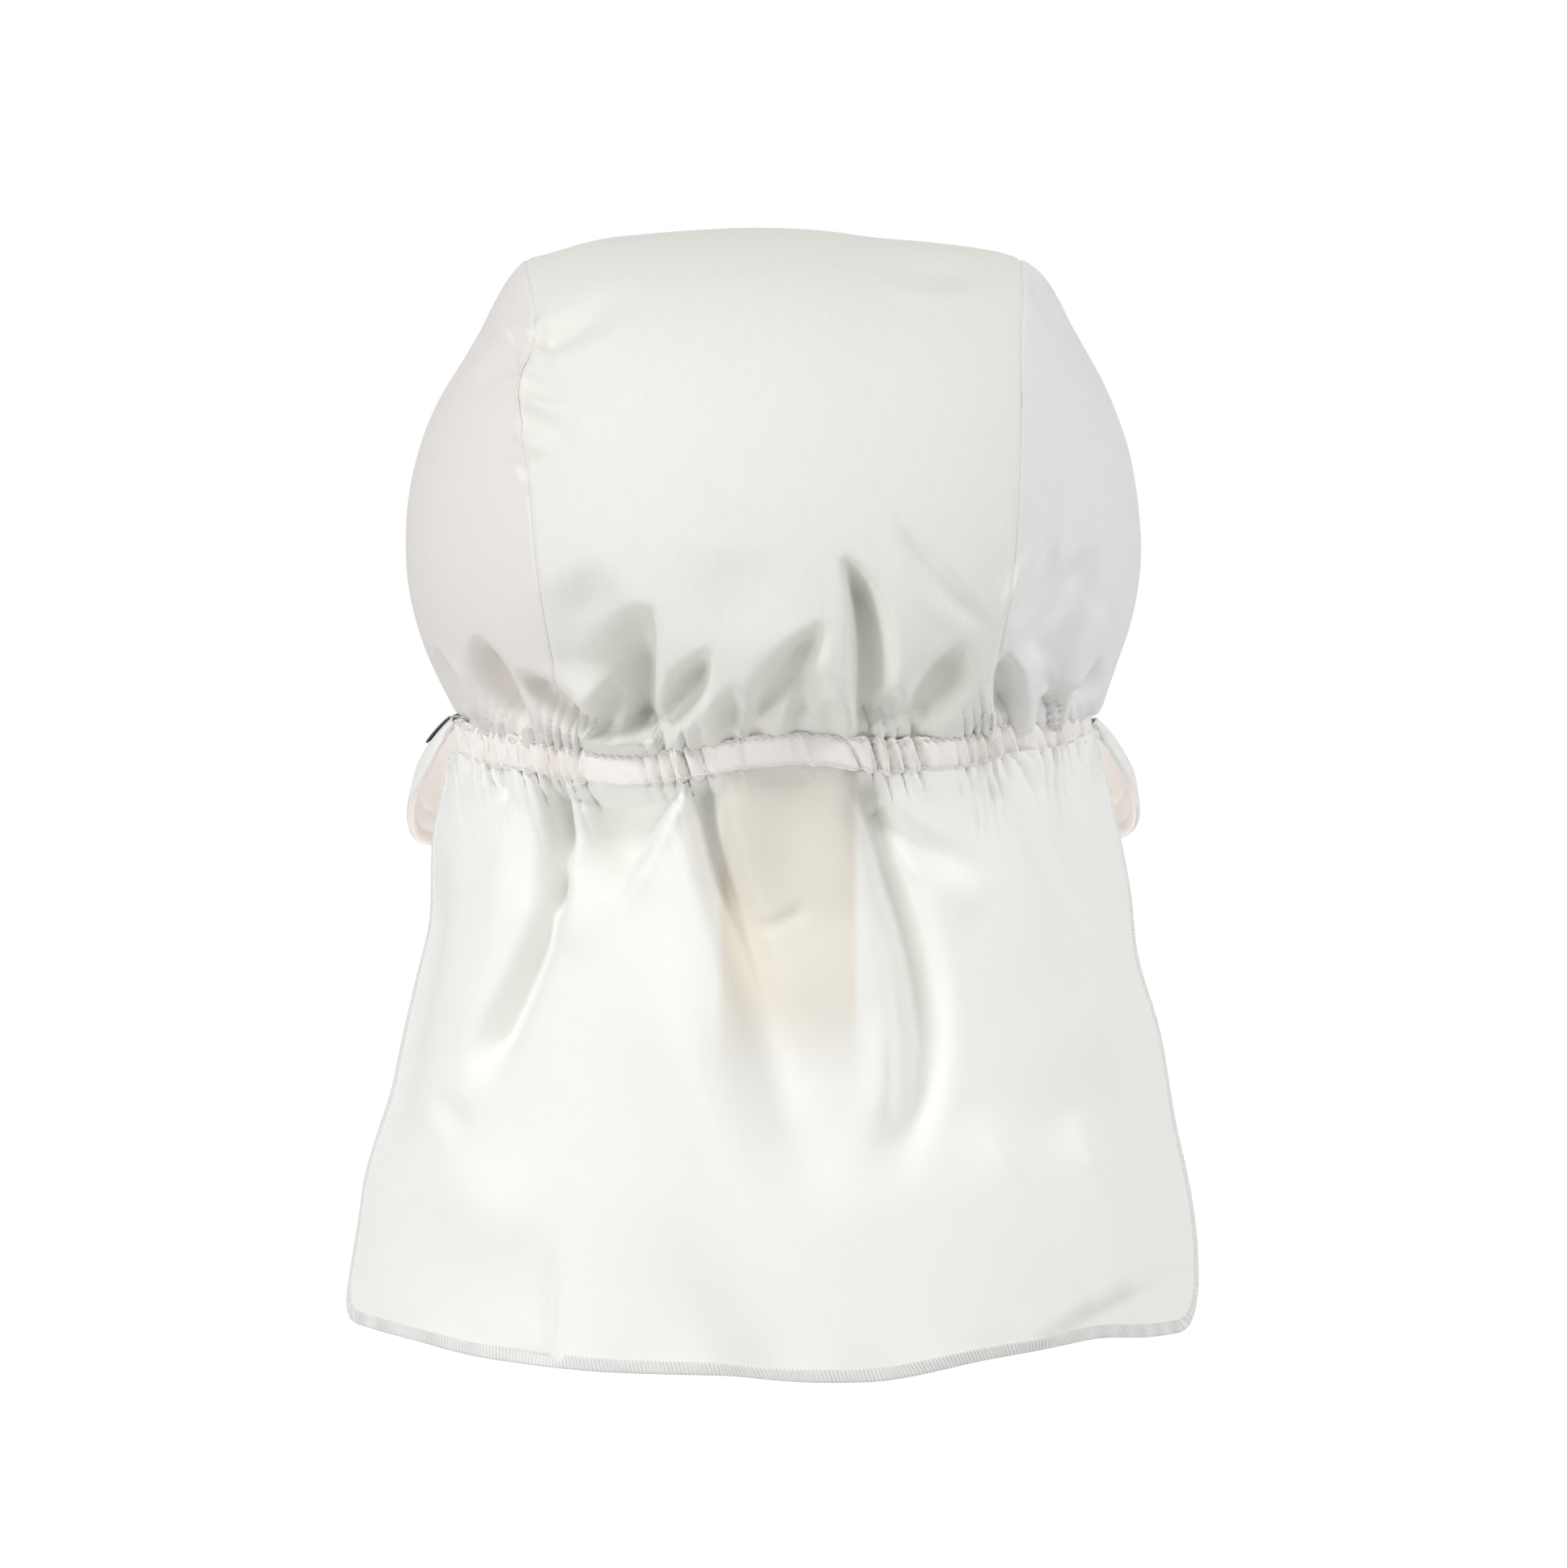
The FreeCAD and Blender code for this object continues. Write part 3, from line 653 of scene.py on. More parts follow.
def casing_shape(share_round, share_along):
    """Tube of flat section: share_round goes round it, share_along goes along the nape."""
    turn = 2 * np.pi * share_round
    c, s = np.cos(turn), np.sin(turn)
    up = CASING_HALF * np.sign(s) * np.abs(s) ** 0.55
    out = CASING_THICK * np.sign(c) * np.abs(c) ** 0.8 - CASING_INSET
    middle = nape_arc(share_along)
    x = middle[:, 0]
    level = nape_height(x)
    ease = 1 - 0.18 * soft_step(0.3, 1.0, np.abs(up) / CASING_HALF)
    out = out * ease + pleat_height(x, up) * np.where(c > 0, 1.0, 0.3) * (0.6 + 0.4 * np.abs(c))
    pinch = CASING_PINCH * pleats(x, up) * np.abs(s) ** 3
    away = unit(nape_arc(share_along, 1.0) - middle)
    return np.stack([x + away[:, 0] * out, middle[:, 1] + away[:, 1] * out,
                     level + up + np.sign(s) * pinch], axis=1)


def close_tube(obj):
    """Join a grid's two long edges, close its ends and turn its faces outwards."""
    bm = bmesh.new()
    bm.from_mesh(obj.data)
    bmesh.ops.remove_doubles(bm, verts=bm.verts, dist=1e-6)
    bmesh.ops.holes_fill(bm, edges=[e for e in bm.edges if e.is_boundary], sides=0)
    bmesh.ops.recalc_face_normals(bm, faces=bm.faces)
    for face in bm.faces:
        face.smooth = True
    bm.to_mesh(obj.data)
    bm.free()


casing = cloth_sheet("casing", 28, 900, casing_shape, (20 * mm, CASING_LENGTH))
close_tube(casing)
# Painted light: this copy of the cotton is lighter and warmer than the crown's, for the light that the
# crown's overhang keeps from the casing and the warm light bounced onto it.
casing_cotton_painted_light = cotton("Casing cotton with painted light", (0.985, 0.94, 0.905), (0.97, 0.925, 0.89), crumple_depth=0.3)
casing.data.materials.append(casing_cotton_painted_light)
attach(casing, "cap")
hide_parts("elastic_casing")

# --- Casing stitching ---
# Two rows of white thread, one along each edge of the casing. The upper one stands up in
# small loops where the elastic has drawn the cloth together.


def thread_run(name, points, radius, pitch, wave, body, node):
    """Row of stitches along a line: a thin thread that swells between its needle holes."""
    run = run_along(points)
    count = int(run[-1] / pitch) * 6
    at = np.linspace(0, run[-1], count + 1)
    line = np.stack([np.interp(at, run, points[:, k]) for k in range(3)], axis=1)
    tangent = unit(np.gradient(line, axis=0))
    side = unit(np.cross(tangent, np.array([0.0, 0.0, 1.0])))
    lift = np.cross(side, tangent)

    def tube(share_round, share_along):
        i = np.clip(np.rint(share_along * count).astype(int), 0, count)
        beat = np.abs(np.sin(np.pi * at[i] / pitch))
        thick = radius * (0.35 + 0.65 * beat ** 0.5)
        turn = 2 * np.pi * share_round
        centre = line[i] + lift[i] * (wave * np.sin(2 * np.pi * at[i] / pitch))[:, None]
        centre = centre + side[i] * (thick * np.cos(turn))[:, None]
        return centre + lift[i] * (thick * np.sin(turn))[:, None]

    obj = cloth_sheet(name, 6, count, tube, (radius * 6, run[-1]))
    close_tube(obj)
    obj.data.materials.append(sewing_thread)
    if body:
        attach(obj, body)
    if node:
        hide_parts(node)
    return obj


def casing_edge_line(height, outset):
    share = np.linspace(0.004, 0.996, 600)
    flat = nape_arc(share, outset)
    x = flat[:, 0]
    lift = pleat_height(x, np.full(x.shape, height)) * 0.7
    out = unit(nape_arc(share, outset + 1.0 * mm) - flat)
    return np.stack([x + out[:, 0] * lift, flat[:, 1] + out[:, 1] * lift,
                     nape_height(x) + height], axis=1)


CASING_ROW_HEIGHT = 3.3 * mm
CASING_ROW_OUTSET = 1.2 * mm
CASING_STITCH = 2.4 * mm
upper_row = casing_edge_line(CASING_ROW_HEIGHT, CASING_ROW_OUTSET)
lower_row = casing_edge_line(-CASING_ROW_HEIGHT, CASING_ROW_OUTSET)
thread_run("casing_stitch_upper", upper_row, 0.28 * mm, CASING_STITCH, 0.35 * mm, "cap",
           "casing_upper_stitching")
thread_run("casing_stitch_lower", lower_row, 0.25 * mm, CASING_STITCH, 0.15 * mm, "cap",
           "casing_lower_stitching")

# --- Neck flap ---
# One layer of the same poplin, gathered into the foot of the casing and left to hang. It
# flares towards its hem in a few big soft folds. Its colour is painted lighter than the crown's,
# as painted light shining through the single layer. The care label behind it is painted on as a
# warm patch: partly the label's colour, partly painted shade where it blocks that light, and
# darker near the casing as painted shade.

FLAP_TOP_ANGLE = 83
FLAP_HEM_ANGLE = 68
FLAP_FLAT = (300 * mm, 141 * mm)
FLAP_CORNERS = (8 * mm, 14 * mm)
FLAP_HALF_HEM = 138 * mm
FLAP_BACK = (82.2, 103)
FLAP_DEPTH = (82.6, 112)
FLAP_TOP_DROP = 3.3 * mm
FLAP_INSIDE = (0, 60 * mm, -70 * mm)
FLAP_CLOTH = 0.45 * mm
FLAP_PLEAT = 4.4 * mm
FLAP_PLEAT_REACH = 7 * mm
HEM_WAVE = 0.5 * mm


def flap_edge(side, down):
    left = [(0, 76.4), (0.031, 78.7), (0.08, 80.4), (0.142, 82.4), (0.175, 83.4), (0.245, 85.2),
            (0.33, 87.3), (0.415, 90.0), (0.5, 92.6), (0.583, 95.0), (0.67, 97.4), (0.757, 99.3),
            (0.84, 100.9), (0.923, 102.7), (1, 104.2)]
    right = [(0, 78.4), (0.06, 80.4), (0.14, 83.2), (0.175, 84.2), (0.245, 86.0), (0.33, 87.9),
             (0.415, 90.2), (0.5, 92.8), (0.583, 95.4), (0.67, 98.0), (0.757, 100.8), (0.84, 102.6),
             (0.923, 103.3), (1, 103.8)]
    return smooth_curve(left if side < 0 else right, down) * mm


def hem_height(x):
    knots = [(-104, -139.9), (-85, -140.8), (-69, -142.5), (-54, -143.1), (-40, -143.7), (-25, -143.9),
             (-10, -144.1), (4, -144.5), (14, -144.6), (25, -144.4), (35, -143.3), (50, -141.3),
             (65, -139.9), (78, -139.1), (90, -140.8), (104, -142.0)]
    return curve_mm(knots, x)


def flap_base(across, down):
    """across runs from -1 at the left edge to 1 at the right, down from the casing to the hem."""
    length = FLAP_FLAT[1]
    corner = np.where(across < 0, FLAP_CORNERS[0], FLAP_CORNERS[1])
    low = np.maximum(down * length - (length - corner), 0)
    inner = FLAP_HALF_HEM - corner + np.sqrt(np.maximum(corner ** 2 - low ** 2, 0))
    across = across * inner / FLAP_HALF_HEM
    half_angle = np.radians(FLAP_TOP_ANGLE + (FLAP_HEM_ANGLE - FLAP_TOP_ANGLE) * down)
    half = np.where(across < 0, flap_edge(-1, down), flap_edge(1, down))
    axis = half / np.sin(half_angle)
    back = (FLAP_BACK[0] + (FLAP_BACK[1] - FLAP_BACK[0]) * down) * mm
    depth = (FLAP_DEPTH[0] + (FLAP_DEPTH[1] - FLAP_DEPTH[0]) * down) * mm
    a = half_angle * across
    x = axis * np.sin(a)
    y = -back + depth * (1 - np.cos(a))
    top = nape_height(x) - FLAP_TOP_DROP + 1.6 * mm * soft_step(70 * mm, 76 * mm, np.abs(x))
    z = top + (hem_height(x) - top) * down
    return np.stack([x, y, z], axis=1)


def flap_shares(share_across, down):
    """The flap's plain shape, with its width given from 0 to 1."""
    return flap_base(2 * share_across - 1, down)


# Folds of the flap, written as those of the crown.
FLAP_FOLD_TAPER = (0.8, 1.0, 1.2)
FLAP_FOLDS = [
    ([(-52, -1), (-51.8, -12), (-51.8, -26), (-53, -40)], 3.4, -14.0, 1.4, 0.0, 0.02, 0.3),
    ([(-52, -28), (-54.5, -42), (-59.5, -55), (-65.5, -68), (-72, -81)],
     3.4, -10.0, 0.9, 0.0, 0.15, 0.3),
    ([(-56, -2), (-56, -22), (-59, -40)], 6.0, -3.0, 1.4, 0.0, 0.02, 0.5),
    ([(-63, -12), (-66, -42), (-77, -80)], 6.0, 2.2, 1.0, 0.0, 0.2, 0.3),
    ([(-47, -30), (-47, -38), (-48, -50)], 6.0, 2.0, 1.0, 0.0, 0.4, 0.5),
    ([(-66.5, -1), (-66, -9), (-65, -17)], 2.6, -6.0, 1.0, 0.2, 0.02, 0.4),
    ([(-44, -2), (-44.5, -8), (-45, -14)], 2.6, -7.0, 1.0, 0.1, 0.02, 0.4),
    ([(-23, -5), (-29, -14), (-35, -24), (-41, -34)], 14.0, -13.0, 5.0, 0.1, 0.02, 0.3),
    ([(-37, -6), (-38, -16), (-40, -28)], 8.0, -6.0, 1.0, 0.0, 0.3, 0.4),
    ([(-17, 0), (-16, -14), (-13, -26), (-9, -38), (-4, -54), (1, -72), (8, -92)],
     4.6, -9.0, 1.0, 0.0, 0.02, 0.6),
    ([(-17, 0), (-16, -12), (-13, -26), (-8.5, -40)], 2.8, -4.0, 1.0, 0.0, 0.02, 0.3),
    ([(-7, -50), (-1, -72), (7, -92), (18, -110)], 9.0, -5.0, 0.6, 0.0, 0.5, 0.4),
    ([(-28, -34), (-21, -62), (-10, -92), (6, -118), (24, -144), (36, -162)],
     15.0, 7.0, 1.3, 0.0, 0.25, 0.1),
    ([(3, 0), (4, -26), (5, -58)], 12.0, -4.5, 1.0, 0.0, 0.02, 0.6),
    ([(23, 0), (23, -12), (27, -26), (31.5, -40), (34.5, -55), (35, -70), (32, -88), (22, -106)],
     5.4, -12.0, 1.2, 0.0, 0.02, 0.5),
    ([(25, -56), (26.5, -72), (25, -92)], 4.0, 2.4, 1.0, 0.0, 0.4, 0.4),
    ([(25, -12), (33.6, -20.5), (42, -26), (50, -30)], 2.8, -5.0, 1.0, 0.1, 0.05, 0.6),
    ([(36, -28), (42, -33), (50, -38)], 5.0, 0.8, 1.0, 0.0, 0.4, 0.4),
    ([(-80.5, -82), (-77, -87), (-71, -91)], 3.0, -1.8, 1.0, 0.2, 0.3, 0.4),
    ([(-82, -96), (-70, -106), (-54, -114)], 13.0, 4.0, 1.2, 0.0, 0.4, 0.4),
    ([(-52.5, -108), (-53, -124), (-54, -143)], 9.0, -4.0, 5.0, 0.0, 0.7, 0.02),
    ([(-36, -98), (-25, -122), (-12, -148), (-4, -164)], 22.0, -9.0, 2.2, 0.0, 0.8, 0.02),
    ([(-6, -40), (0, -39.5), (5, -37.5), (9.5, -34.5)], 1.6, -1.3, 1.0, 0.2, 0.4, 0.3),
    ([(-80, -20), (-87, -60), (-97, -110)], 6.0, -4.0, 1.0, 0.0, 0.3, 0.3),
    ([(62, -3), (66, -22), (73, -38), (83, -54), (90, -76)], 6.0, -5.0, 1.0, 0.0, 0.1, 0.4),
]

# Sharp ridges of the flap's right hand half, each like the ridge of a low roof.
FLAP_CREASE_TAPER = (0.6, 1.0, 1.2)
FLAP_CREASES = [
    ([(54, -3), (57, -22), (63.5, -38), (73, -54), (81, -76), (87, -100)],
     13.0, 7.0, 1.6, 0.0, 0.1, 0.4),
    ([(46, -82), (60, -106), (77, -134)], 14.0, 5.0, 2.0, 0.0, 0.3, 0.1),
    ([(69, -84), (77, -106), (85, -132)], 10.0, 5.0, 2.0, 0.0, 0.3, 0.1),
]


def flap_place(across, down):
    p = flap_base(across, down)
    n = surface_normal(flap_shares, (across + 1) / 2, down, FLAP_INSIDE)
    x, z = p[:, 0], p[:, 2]
    below = np.maximum(-4 * mm + nape_height(x) - z, 0)
    d = relief(x, z, FLAP_FOLDS, FLAP_FOLD_TAPER, 1.8)
    d = d + relief(x, z, FLAP_CREASES, FLAP_CREASE_TAPER, 1.1)
    d = d * (0.4 + 0.6 * soft_step(0, 5 * mm, below))
    d = d + FLAP_PLEAT * pleats(x, -below) * np.exp(-below / FLAP_PLEAT_REACH)
    hem_wave = HEM_WAVE * np.sin(x / (4.6 * mm)) * soft_step(0.93, 1, down)
    return p + straight_back(n) * (d + hem_wave)[:, None]


# Columns lie closer together along the deep folds, and rows near the casing.
FLAP_FOLD_PLACES = (-0.52, -0.14, 0.22)
FLAP_FOLD_REACH = 0.07
FLAP_CROWDING = 1.2
FLAP_ROW_SPREAD = 1.25


def flap_columns(share):
    across = np.linspace(-1, 1, 401)
    density = np.ones(across.shape)
    for place in FLAP_FOLD_PLACES:
        density = density + FLAP_CROWDING * np.exp(-((across - place) / FLAP_FOLD_REACH) ** 2)
    run = np.concatenate([[0], np.cumsum((density[1:] + density[:-1]) / 2)])
    return np.interp(share, run / run[-1], across)


def flap_sheet(share_across, share_down):
    return flap_place(flap_columns(share_across), share_down ** FLAP_ROW_SPREAD)


PATCH_LEFT = -12.3 * mm
PATCH_RIGHT = 19.5 * mm
PATCH_TOP = 2 * mm
PAINTED_SHADE_FOOT = -38 * mm
PATCH_FOOT = -66 * mm


def flap_cloth():
    """The poplin again, painted lighter than the crown's as painted light shining through the single
    layer, with a warm patch where the care label shows through it: partly the label's colour,
    partly painted shade where the label blocks light through the cloth. The patch is darker
    near the casing, as painted shade where the flap is recessed under the casing."""
    # Painted light: this poplin is a lighter copy of the crown's, for the light that shines through the
    # single layer of the flap.
    material = cotton("Flap poplin with painted light", (0.965, 0.965, 0.93), (0.955, 0.955, 0.92), through=0.05)
    tree = material.node_tree
    shader = tree.nodes["Principled BSDF"]
    cloth_colour = shader.inputs["Base Color"].links[0].from_socket
    place = split_coordinates(tree, "Object")

    def band(socket, low, high, soft):
        up = range_node(tree, socket, (low - soft, low + soft), kind="SMOOTHSTEP")
        down = range_node(tree, socket, (high + soft, high - soft), kind="SMOOTHSTEP")
        return math_node(tree, "MULTIPLY", up, down)

    patch_width = band(place[0], PATCH_LEFT, PATCH_RIGHT, 1.4 * mm)
    patch_drop = band(place[2], PATCH_FOOT, PATCH_TOP, 12.0 * mm)
    patch = math_node(tree, "MULTIPLY", patch_width, patch_drop)
    # Painted shade: the upper part of the patch, down to its own foot, is darkened further for the
    # shade where the flap is recessed under the casing.
    shade_near_casing_drop = band(place[2], PAINTED_SHADE_FOOT, PATCH_TOP, 6.0 * mm)
    near = math_node(tree, "MULTIPLY", patch, shade_near_casing_drop)
    # The warm patch is partly the label's own colour seen through the cloth and partly painted shade
    # where the label blocks light passing through it.
    label_and_shade_colour = colour_mix(tree, patch, cloth_colour, (0.92, 0.875, 0.81), "MULTIPLY")
    shaded_flap_colour = colour_mix(tree, near, label_and_shade_colour, (0.9, 0.9, 0.91), "MULTIPLY")
    tree.links.new(shaded_flap_colour, shader.inputs["Base Color"])
    return material


flap = cloth_piece("neck_flap_cloth", 350, 115, flap_sheet, FLAP_FLAT, FLAP_INSIDE,
                   FLAP_CLOTH, flap_cloth(), 0.0)
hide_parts("neck_flap")
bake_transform(flap)

# --- Overlocked edge of the flap ---
# A narrow three-thread overlock runs down one side, along the hem and up the other. Slanted
# threads wrap the raw edge, and a firmer thread lies along its upper line.

OVERLOCK = 3.3 * mm
OVERLOCK_HEM = 262 * mm
OVERLOCK_STEPS = 4200
OVERLOCK_ROUND = 7 * mm
OVERLOCK_PITCH = 1.0 * mm
OVERLOCK_TURN_SLANT = 0.6
OVERLOCK_THICK = 0.5 * mm
OVERLOCK_RIDGE = 0.4 * mm
OVERLOCK_CORD = 0.3 * mm


def overlock_path(count):
    """The flap's free edge as across and down values, from one end of the casing to the other."""
    side, hem = FLAP_FLAT[1], OVERLOCK_HEM
    s = np.linspace(0, 2 * side + hem, count + 1)
    across = np.where(s < side, -1.0, np.where(s < side + hem, -1 + 2 * (s - side) / hem, 1.0))
    down = np.where(s < side, s / side, np.where(s < side + hem, 1.0, 1 - (s - side - hem) / side))
    return across, down


def running_mean(points, reach):
    """Mean of each point and its neighbours within reach on both sides."""
    padded = np.pad(points, ((reach, reach), (0, 0)), mode="edge")
    share = np.ones(2 * reach + 1) / (2 * reach + 1)
    return np.stack([np.convolve(padded[:, k], share, mode="valid") for k in range(3)], axis=1)


edge_across, edge_down = overlock_path(OVERLOCK_STEPS)
edge_points = running_mean(flap_place(edge_across, edge_down), 4)
edge_tangent = unit(np.gradient(edge_points, axis=0))
inward = flap_place(edge_across * 0.975, np.minimum(edge_down, 0.975)) - edge_points
inward = unit(inward - edge_tangent * (inward * edge_tangent).sum(axis=1)[:, None])
inward = unit(running_mean(inward, 12))
edge_normal = np.cross(edge_tangent, inward)
edge_run = run_along(edge_points)


def overlock_shape(share_round, share_along):
    i = np.clip(np.rint(share_along * OVERLOCK_STEPS).astype(int), 0, OVERLOCK_STEPS)
    turn = 2 * np.pi * share_round
    c, s = np.cos(turn), np.sin(turn)
    slant = edge_run[i] / OVERLOCK_PITCH + OVERLOCK_TURN_SLANT * c
    ridge = OVERLOCK_RIDGE * (np.abs(np.sin(np.pi * slant)) ** 0.6 - 0.6)
    top_cord = OVERLOCK_CORD * np.exp(-((c - 0.86) / 0.22) ** 2)
    across = OVERLOCK / 2 * (1 + np.sign(c) * np.abs(c) ** 0.8) - 0.3 * mm
    out = (OVERLOCK_THICK + ridge + top_cord) * np.sign(s) * np.abs(s) ** 0.6
    return edge_points[i] + inward[i] * across[:, None] + edge_normal[i] * out[:, None]


overlock = cloth_sheet("neck_flap_edge", 12, OVERLOCK_STEPS, overlock_shape,
                       (OVERLOCK_ROUND, edge_run[-1]))
close_tube(overlock)


def overlock_thread():
    """Sewing thread with painted shade in the gaps between its slanted turns."""
    material = cotton("Overlock thread", (0.93, 0.93, 0.91), (0.88, 0.88, 0.86), crumple_depth=0.1)
    tree = material.node_tree
    shader = tree.nodes["Principled BSDF"]
    thread_colour = shader.inputs["Base Color"].links[0].from_socket
    round_it, along_it, _ = split_coordinates(tree, "UV")

    def math(operation, a, b=0.0):
        return math_node(tree, operation, a, b)

    round_turn = math("MULTIPLY", round_it, 2 * np.pi / OVERLOCK_ROUND)
    lean = math("MULTIPLY", math("COSINE", round_turn), OVERLOCK_TURN_SLANT * np.pi)
    turn = math("ADD", math("MULTIPLY", along_it, np.pi / OVERLOCK_PITCH), lean)
    thread = math("POWER", math("ABSOLUTE", math("SINE", turn)), 0.7)
    # The painted shade in the gaps is much lighter along the sides than along the hem.
    half_hem = edge_run[-1] / 2 - FLAP_FLAT[1]
    off_middle = math("ABSOLUTE", math("SUBTRACT", along_it, edge_run[-1] / 2))
    beside = range_node(tree, off_middle, (half_hem - 5 * mm, half_hem + 5 * mm))
    gap_shade_colour = colour_mix(tree, beside, (0.66, 0.66, 0.65), (0.88, 0.88, 0.86))
    tree.links.new(colour_mix(tree, thread, gap_shade_colour, thread_colour), shader.inputs["Base Color"])
    return material


overlock.data.materials.append(overlock_thread())
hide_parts("neck_flap_overlock")
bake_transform(overlock)

# --- Visor ---
# Two layers of the same cotton, sewn along the outer edge, turned out and topstitched over a
# soft interlining. It droops at the temples like the side of a bucket hat.

VISOR_HALF_WIDTH = 92 * mm
VISOR_REACH = 139 * mm
VISOR_ROOT_OUT = 1.6 * mm
VISOR_STACK = 1.05 * mm
VISOR_ROOT_HEIGHT = 3.15 * mm
VISOR_ROUNDNESS = 0.83
VISOR_REAR = -6.0
VISOR_CORNER = 20.0
VISOR_ARCH = 0.10
VISOR_SIDE_DROP = 23
VISOR_FRONT_DROP = 26
VISOR_SHOULDER_DROP = 10.5
VISOR_LEFT_SAG = 2.2
VISOR_FLAT = (330 * mm, 62 * mm)
VISOR_BELOW = (0, 20 * mm, -60 * mm)
VISOR_ABOVE = (0, 20 * mm, 300 * mm)
VISOR_ROWS = (3.7 * mm, 8.7 * mm)
VISOR_ROW_WIDTH = 0.8 * mm
VISOR_ROW_SINK = 0.25 * mm
VISOR_PUCKER = 0.22 * mm
VISOR_TUCK = 0.5 * mm
VISOR_EDGE_ROUND = 1.6 * mm
VISOR_END_ROUND = 1.2 * mm
VISOR_CLOTH = 0.5 * mm


def visor_middle(turn, share):
    """Middle surface of the visor: turn in degrees round the brow, share from root to edge."""
    a = np.radians(turn)
    c, s = np.cos(a), np.sin(a)
    root = np.stack([(RING_WIDTH + VISOR_ROOT_OUT) * c, (RING_LENGTH + VISOR_ROOT_OUT) * s], axis=1)
    ahead = np.maximum(s, 0)
    full = np.stack([VISOR_HALF_WIDTH * np.sign(c) * np.abs(c) ** VISOR_ROUNDNESS,
                     VISOR_REACH * ahead ** VISOR_ROUNDNESS], axis=1)
    shoulder = np.sin(np.pi * ahead)
    sag = VISOR_LEFT_SAG * soft_step(110, 176, turn)
    drop = VISOR_SIDE_DROP * (1 - ahead) + VISOR_FRONT_DROP * ahead
    drop = (drop + VISOR_SHOULDER_DROP * shoulder + sag) * mm
    from_end = np.where(turn <= 90, turn, 180 - turn)
    corner = np.clip((from_end - VISOR_REAR) / VISOR_CORNER, 0, 1)
    width = 0.16 + 0.84 * np.sqrt(1 - (1 - corner) ** 2)
    hem = root + (full - root) * width[:, None]
    hem[:, 1] = np.where(s < 0, root[:, 1], hem[:, 1])
    drop = drop * width
    across = hem - root
    reach = np.linalg.norm(across, axis=1)
    length = np.hypot(reach, drop)
    swell = VISOR_ARCH * length * 4 * share * (1 - share)
    flat = reach * share + swell * drop / length
    down = drop * share - swell * reach / length
    plan = root + across / reach[:, None] * flat[:, None]
    return np.stack([plan[:, 0], plan[:, 1], VISOR_ROOT_HEIGHT - down], axis=1)


def visor_length(turn):
    a = visor_middle(turn, np.zeros(turn.shape))
    b = visor_middle(turn, np.ones(turn.shape))
    return np.linalg.norm(b - a, axis=1)


def visor_turn(share_along):
    return VISOR_REAR + (180 - 2 * VISOR_REAR) * share_along


def visor_shares(share_along, share_out):
    """The visor's middle surface, with its turn given from 0 to 1."""
    return visor_middle(visor_turn(share_along), share_out)


def visor_face(side):
    """Upper (1) or lower (-1) layer; both turn in towards the seam at the outer edge."""
    def place(share_along, share_out):
        out = 1 - (1 - share_out) ** 1.35
        p = visor_shares(share_along, out)
        n = surface_normal(visor_shares, share_along, out, VISOR_BELOW)
        length = visor_length(visor_turn(share_along))
        from_edge = (1 - out) * length
        from_root = out * length
        gap = VISOR_STACK * np.sqrt(1 - np.clip(1 - from_edge / VISOR_EDGE_ROUND, 0, 1) ** 2)
        from_end = np.minimum(share_along, 1 - share_along)
        end = from_end * VISOR_FLAT[0]
        gap = gap * np.sqrt(1 - np.clip(1 - end / VISOR_END_ROUND, 0, 1) ** 2)
        row = sum(np.exp(-((from_edge - line) / VISOR_ROW_WIDTH) ** 2) for line in VISOR_ROWS)
        along = share_along * VISOR_FLAT[0]
        pucker = VISOR_PUCKER * np.sin(along / (5.2 * mm) + 9 * share_out)
        pucker = pucker * np.exp(-(from_edge - 6 * mm) ** 2 / (6 * mm) ** 2)
        tuck = VISOR_TUCK * np.sin(along / (4.4 * mm)) * np.exp(-from_root / (7 * mm))
        d = side * (gap - VISOR_ROW_SINK * row * soft_step(0.04, 0.09, from_end))
        return p + n * (d + pucker + tuck)[:, None]

    return place


visor_poplin = cotton("Visor poplin", (0.93, 0.93, 0.90), (0.92, 0.92, 0.89))
# Painted light: the lower layer is a lighter, pinker copy of the cotton, for warm light bounced onto
# its underside and passing through the visor.
visor_cotton_painted_light = cotton("Visor cotton with painted light", (0.98, 0.885, 0.82), (0.97, 0.875, 0.81), through=0.3)
VISOR_LAYERS = (
    (1, "visor_upper", "visor_upper_cloth", VISOR_BELOW, visor_poplin),
    (-1, "visor_lower", "visor_lower_cloth", VISOR_ABOVE, visor_cotton_painted_light),
)
for side, name, parts, behind, cloth in VISOR_LAYERS:
    layer = cloth_piece(name, 360, 60, visor_face(side), VISOR_FLAT, behind, VISOR_CLOTH, cloth)
    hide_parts(parts + "_sides", parts + "_front")
    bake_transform(layer)

# --- Visor topstitching ---
# Two rows of white lockstitch near the outer edge, through both layers and the interlining.
# They are sunk a little into the cloth.

VISOR_ROW_TURNS = (9, 171)
VISOR_ROW_LIFT = 0.95 * mm
VISOR_THREAD = 0.24 * mm
VISOR_STITCH = 2.6 * mm
for index, from_edge in enumerate(VISOR_ROWS):
    turns = np.linspace(*VISOR_ROW_TURNS, 900)
    share_along = (turns - VISOR_REAR) / (180 - 2 * VISOR_REAR)
    out = 1 - from_edge / visor_length(turns)
    row_normal = surface_normal(visor_shares, share_along, out, VISOR_BELOW)
    row_points = visor_middle(turns, out) + row_normal * VISOR_ROW_LIFT
    row = thread_run("visor_stitch_%d" % (index + 1), row_points, VISOR_THREAD, VISOR_STITCH, 0.0,
                     None, None)
    if index == 0:
        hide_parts("visor_topstitching_sides", "visor_topstitching_front")
    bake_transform(row)

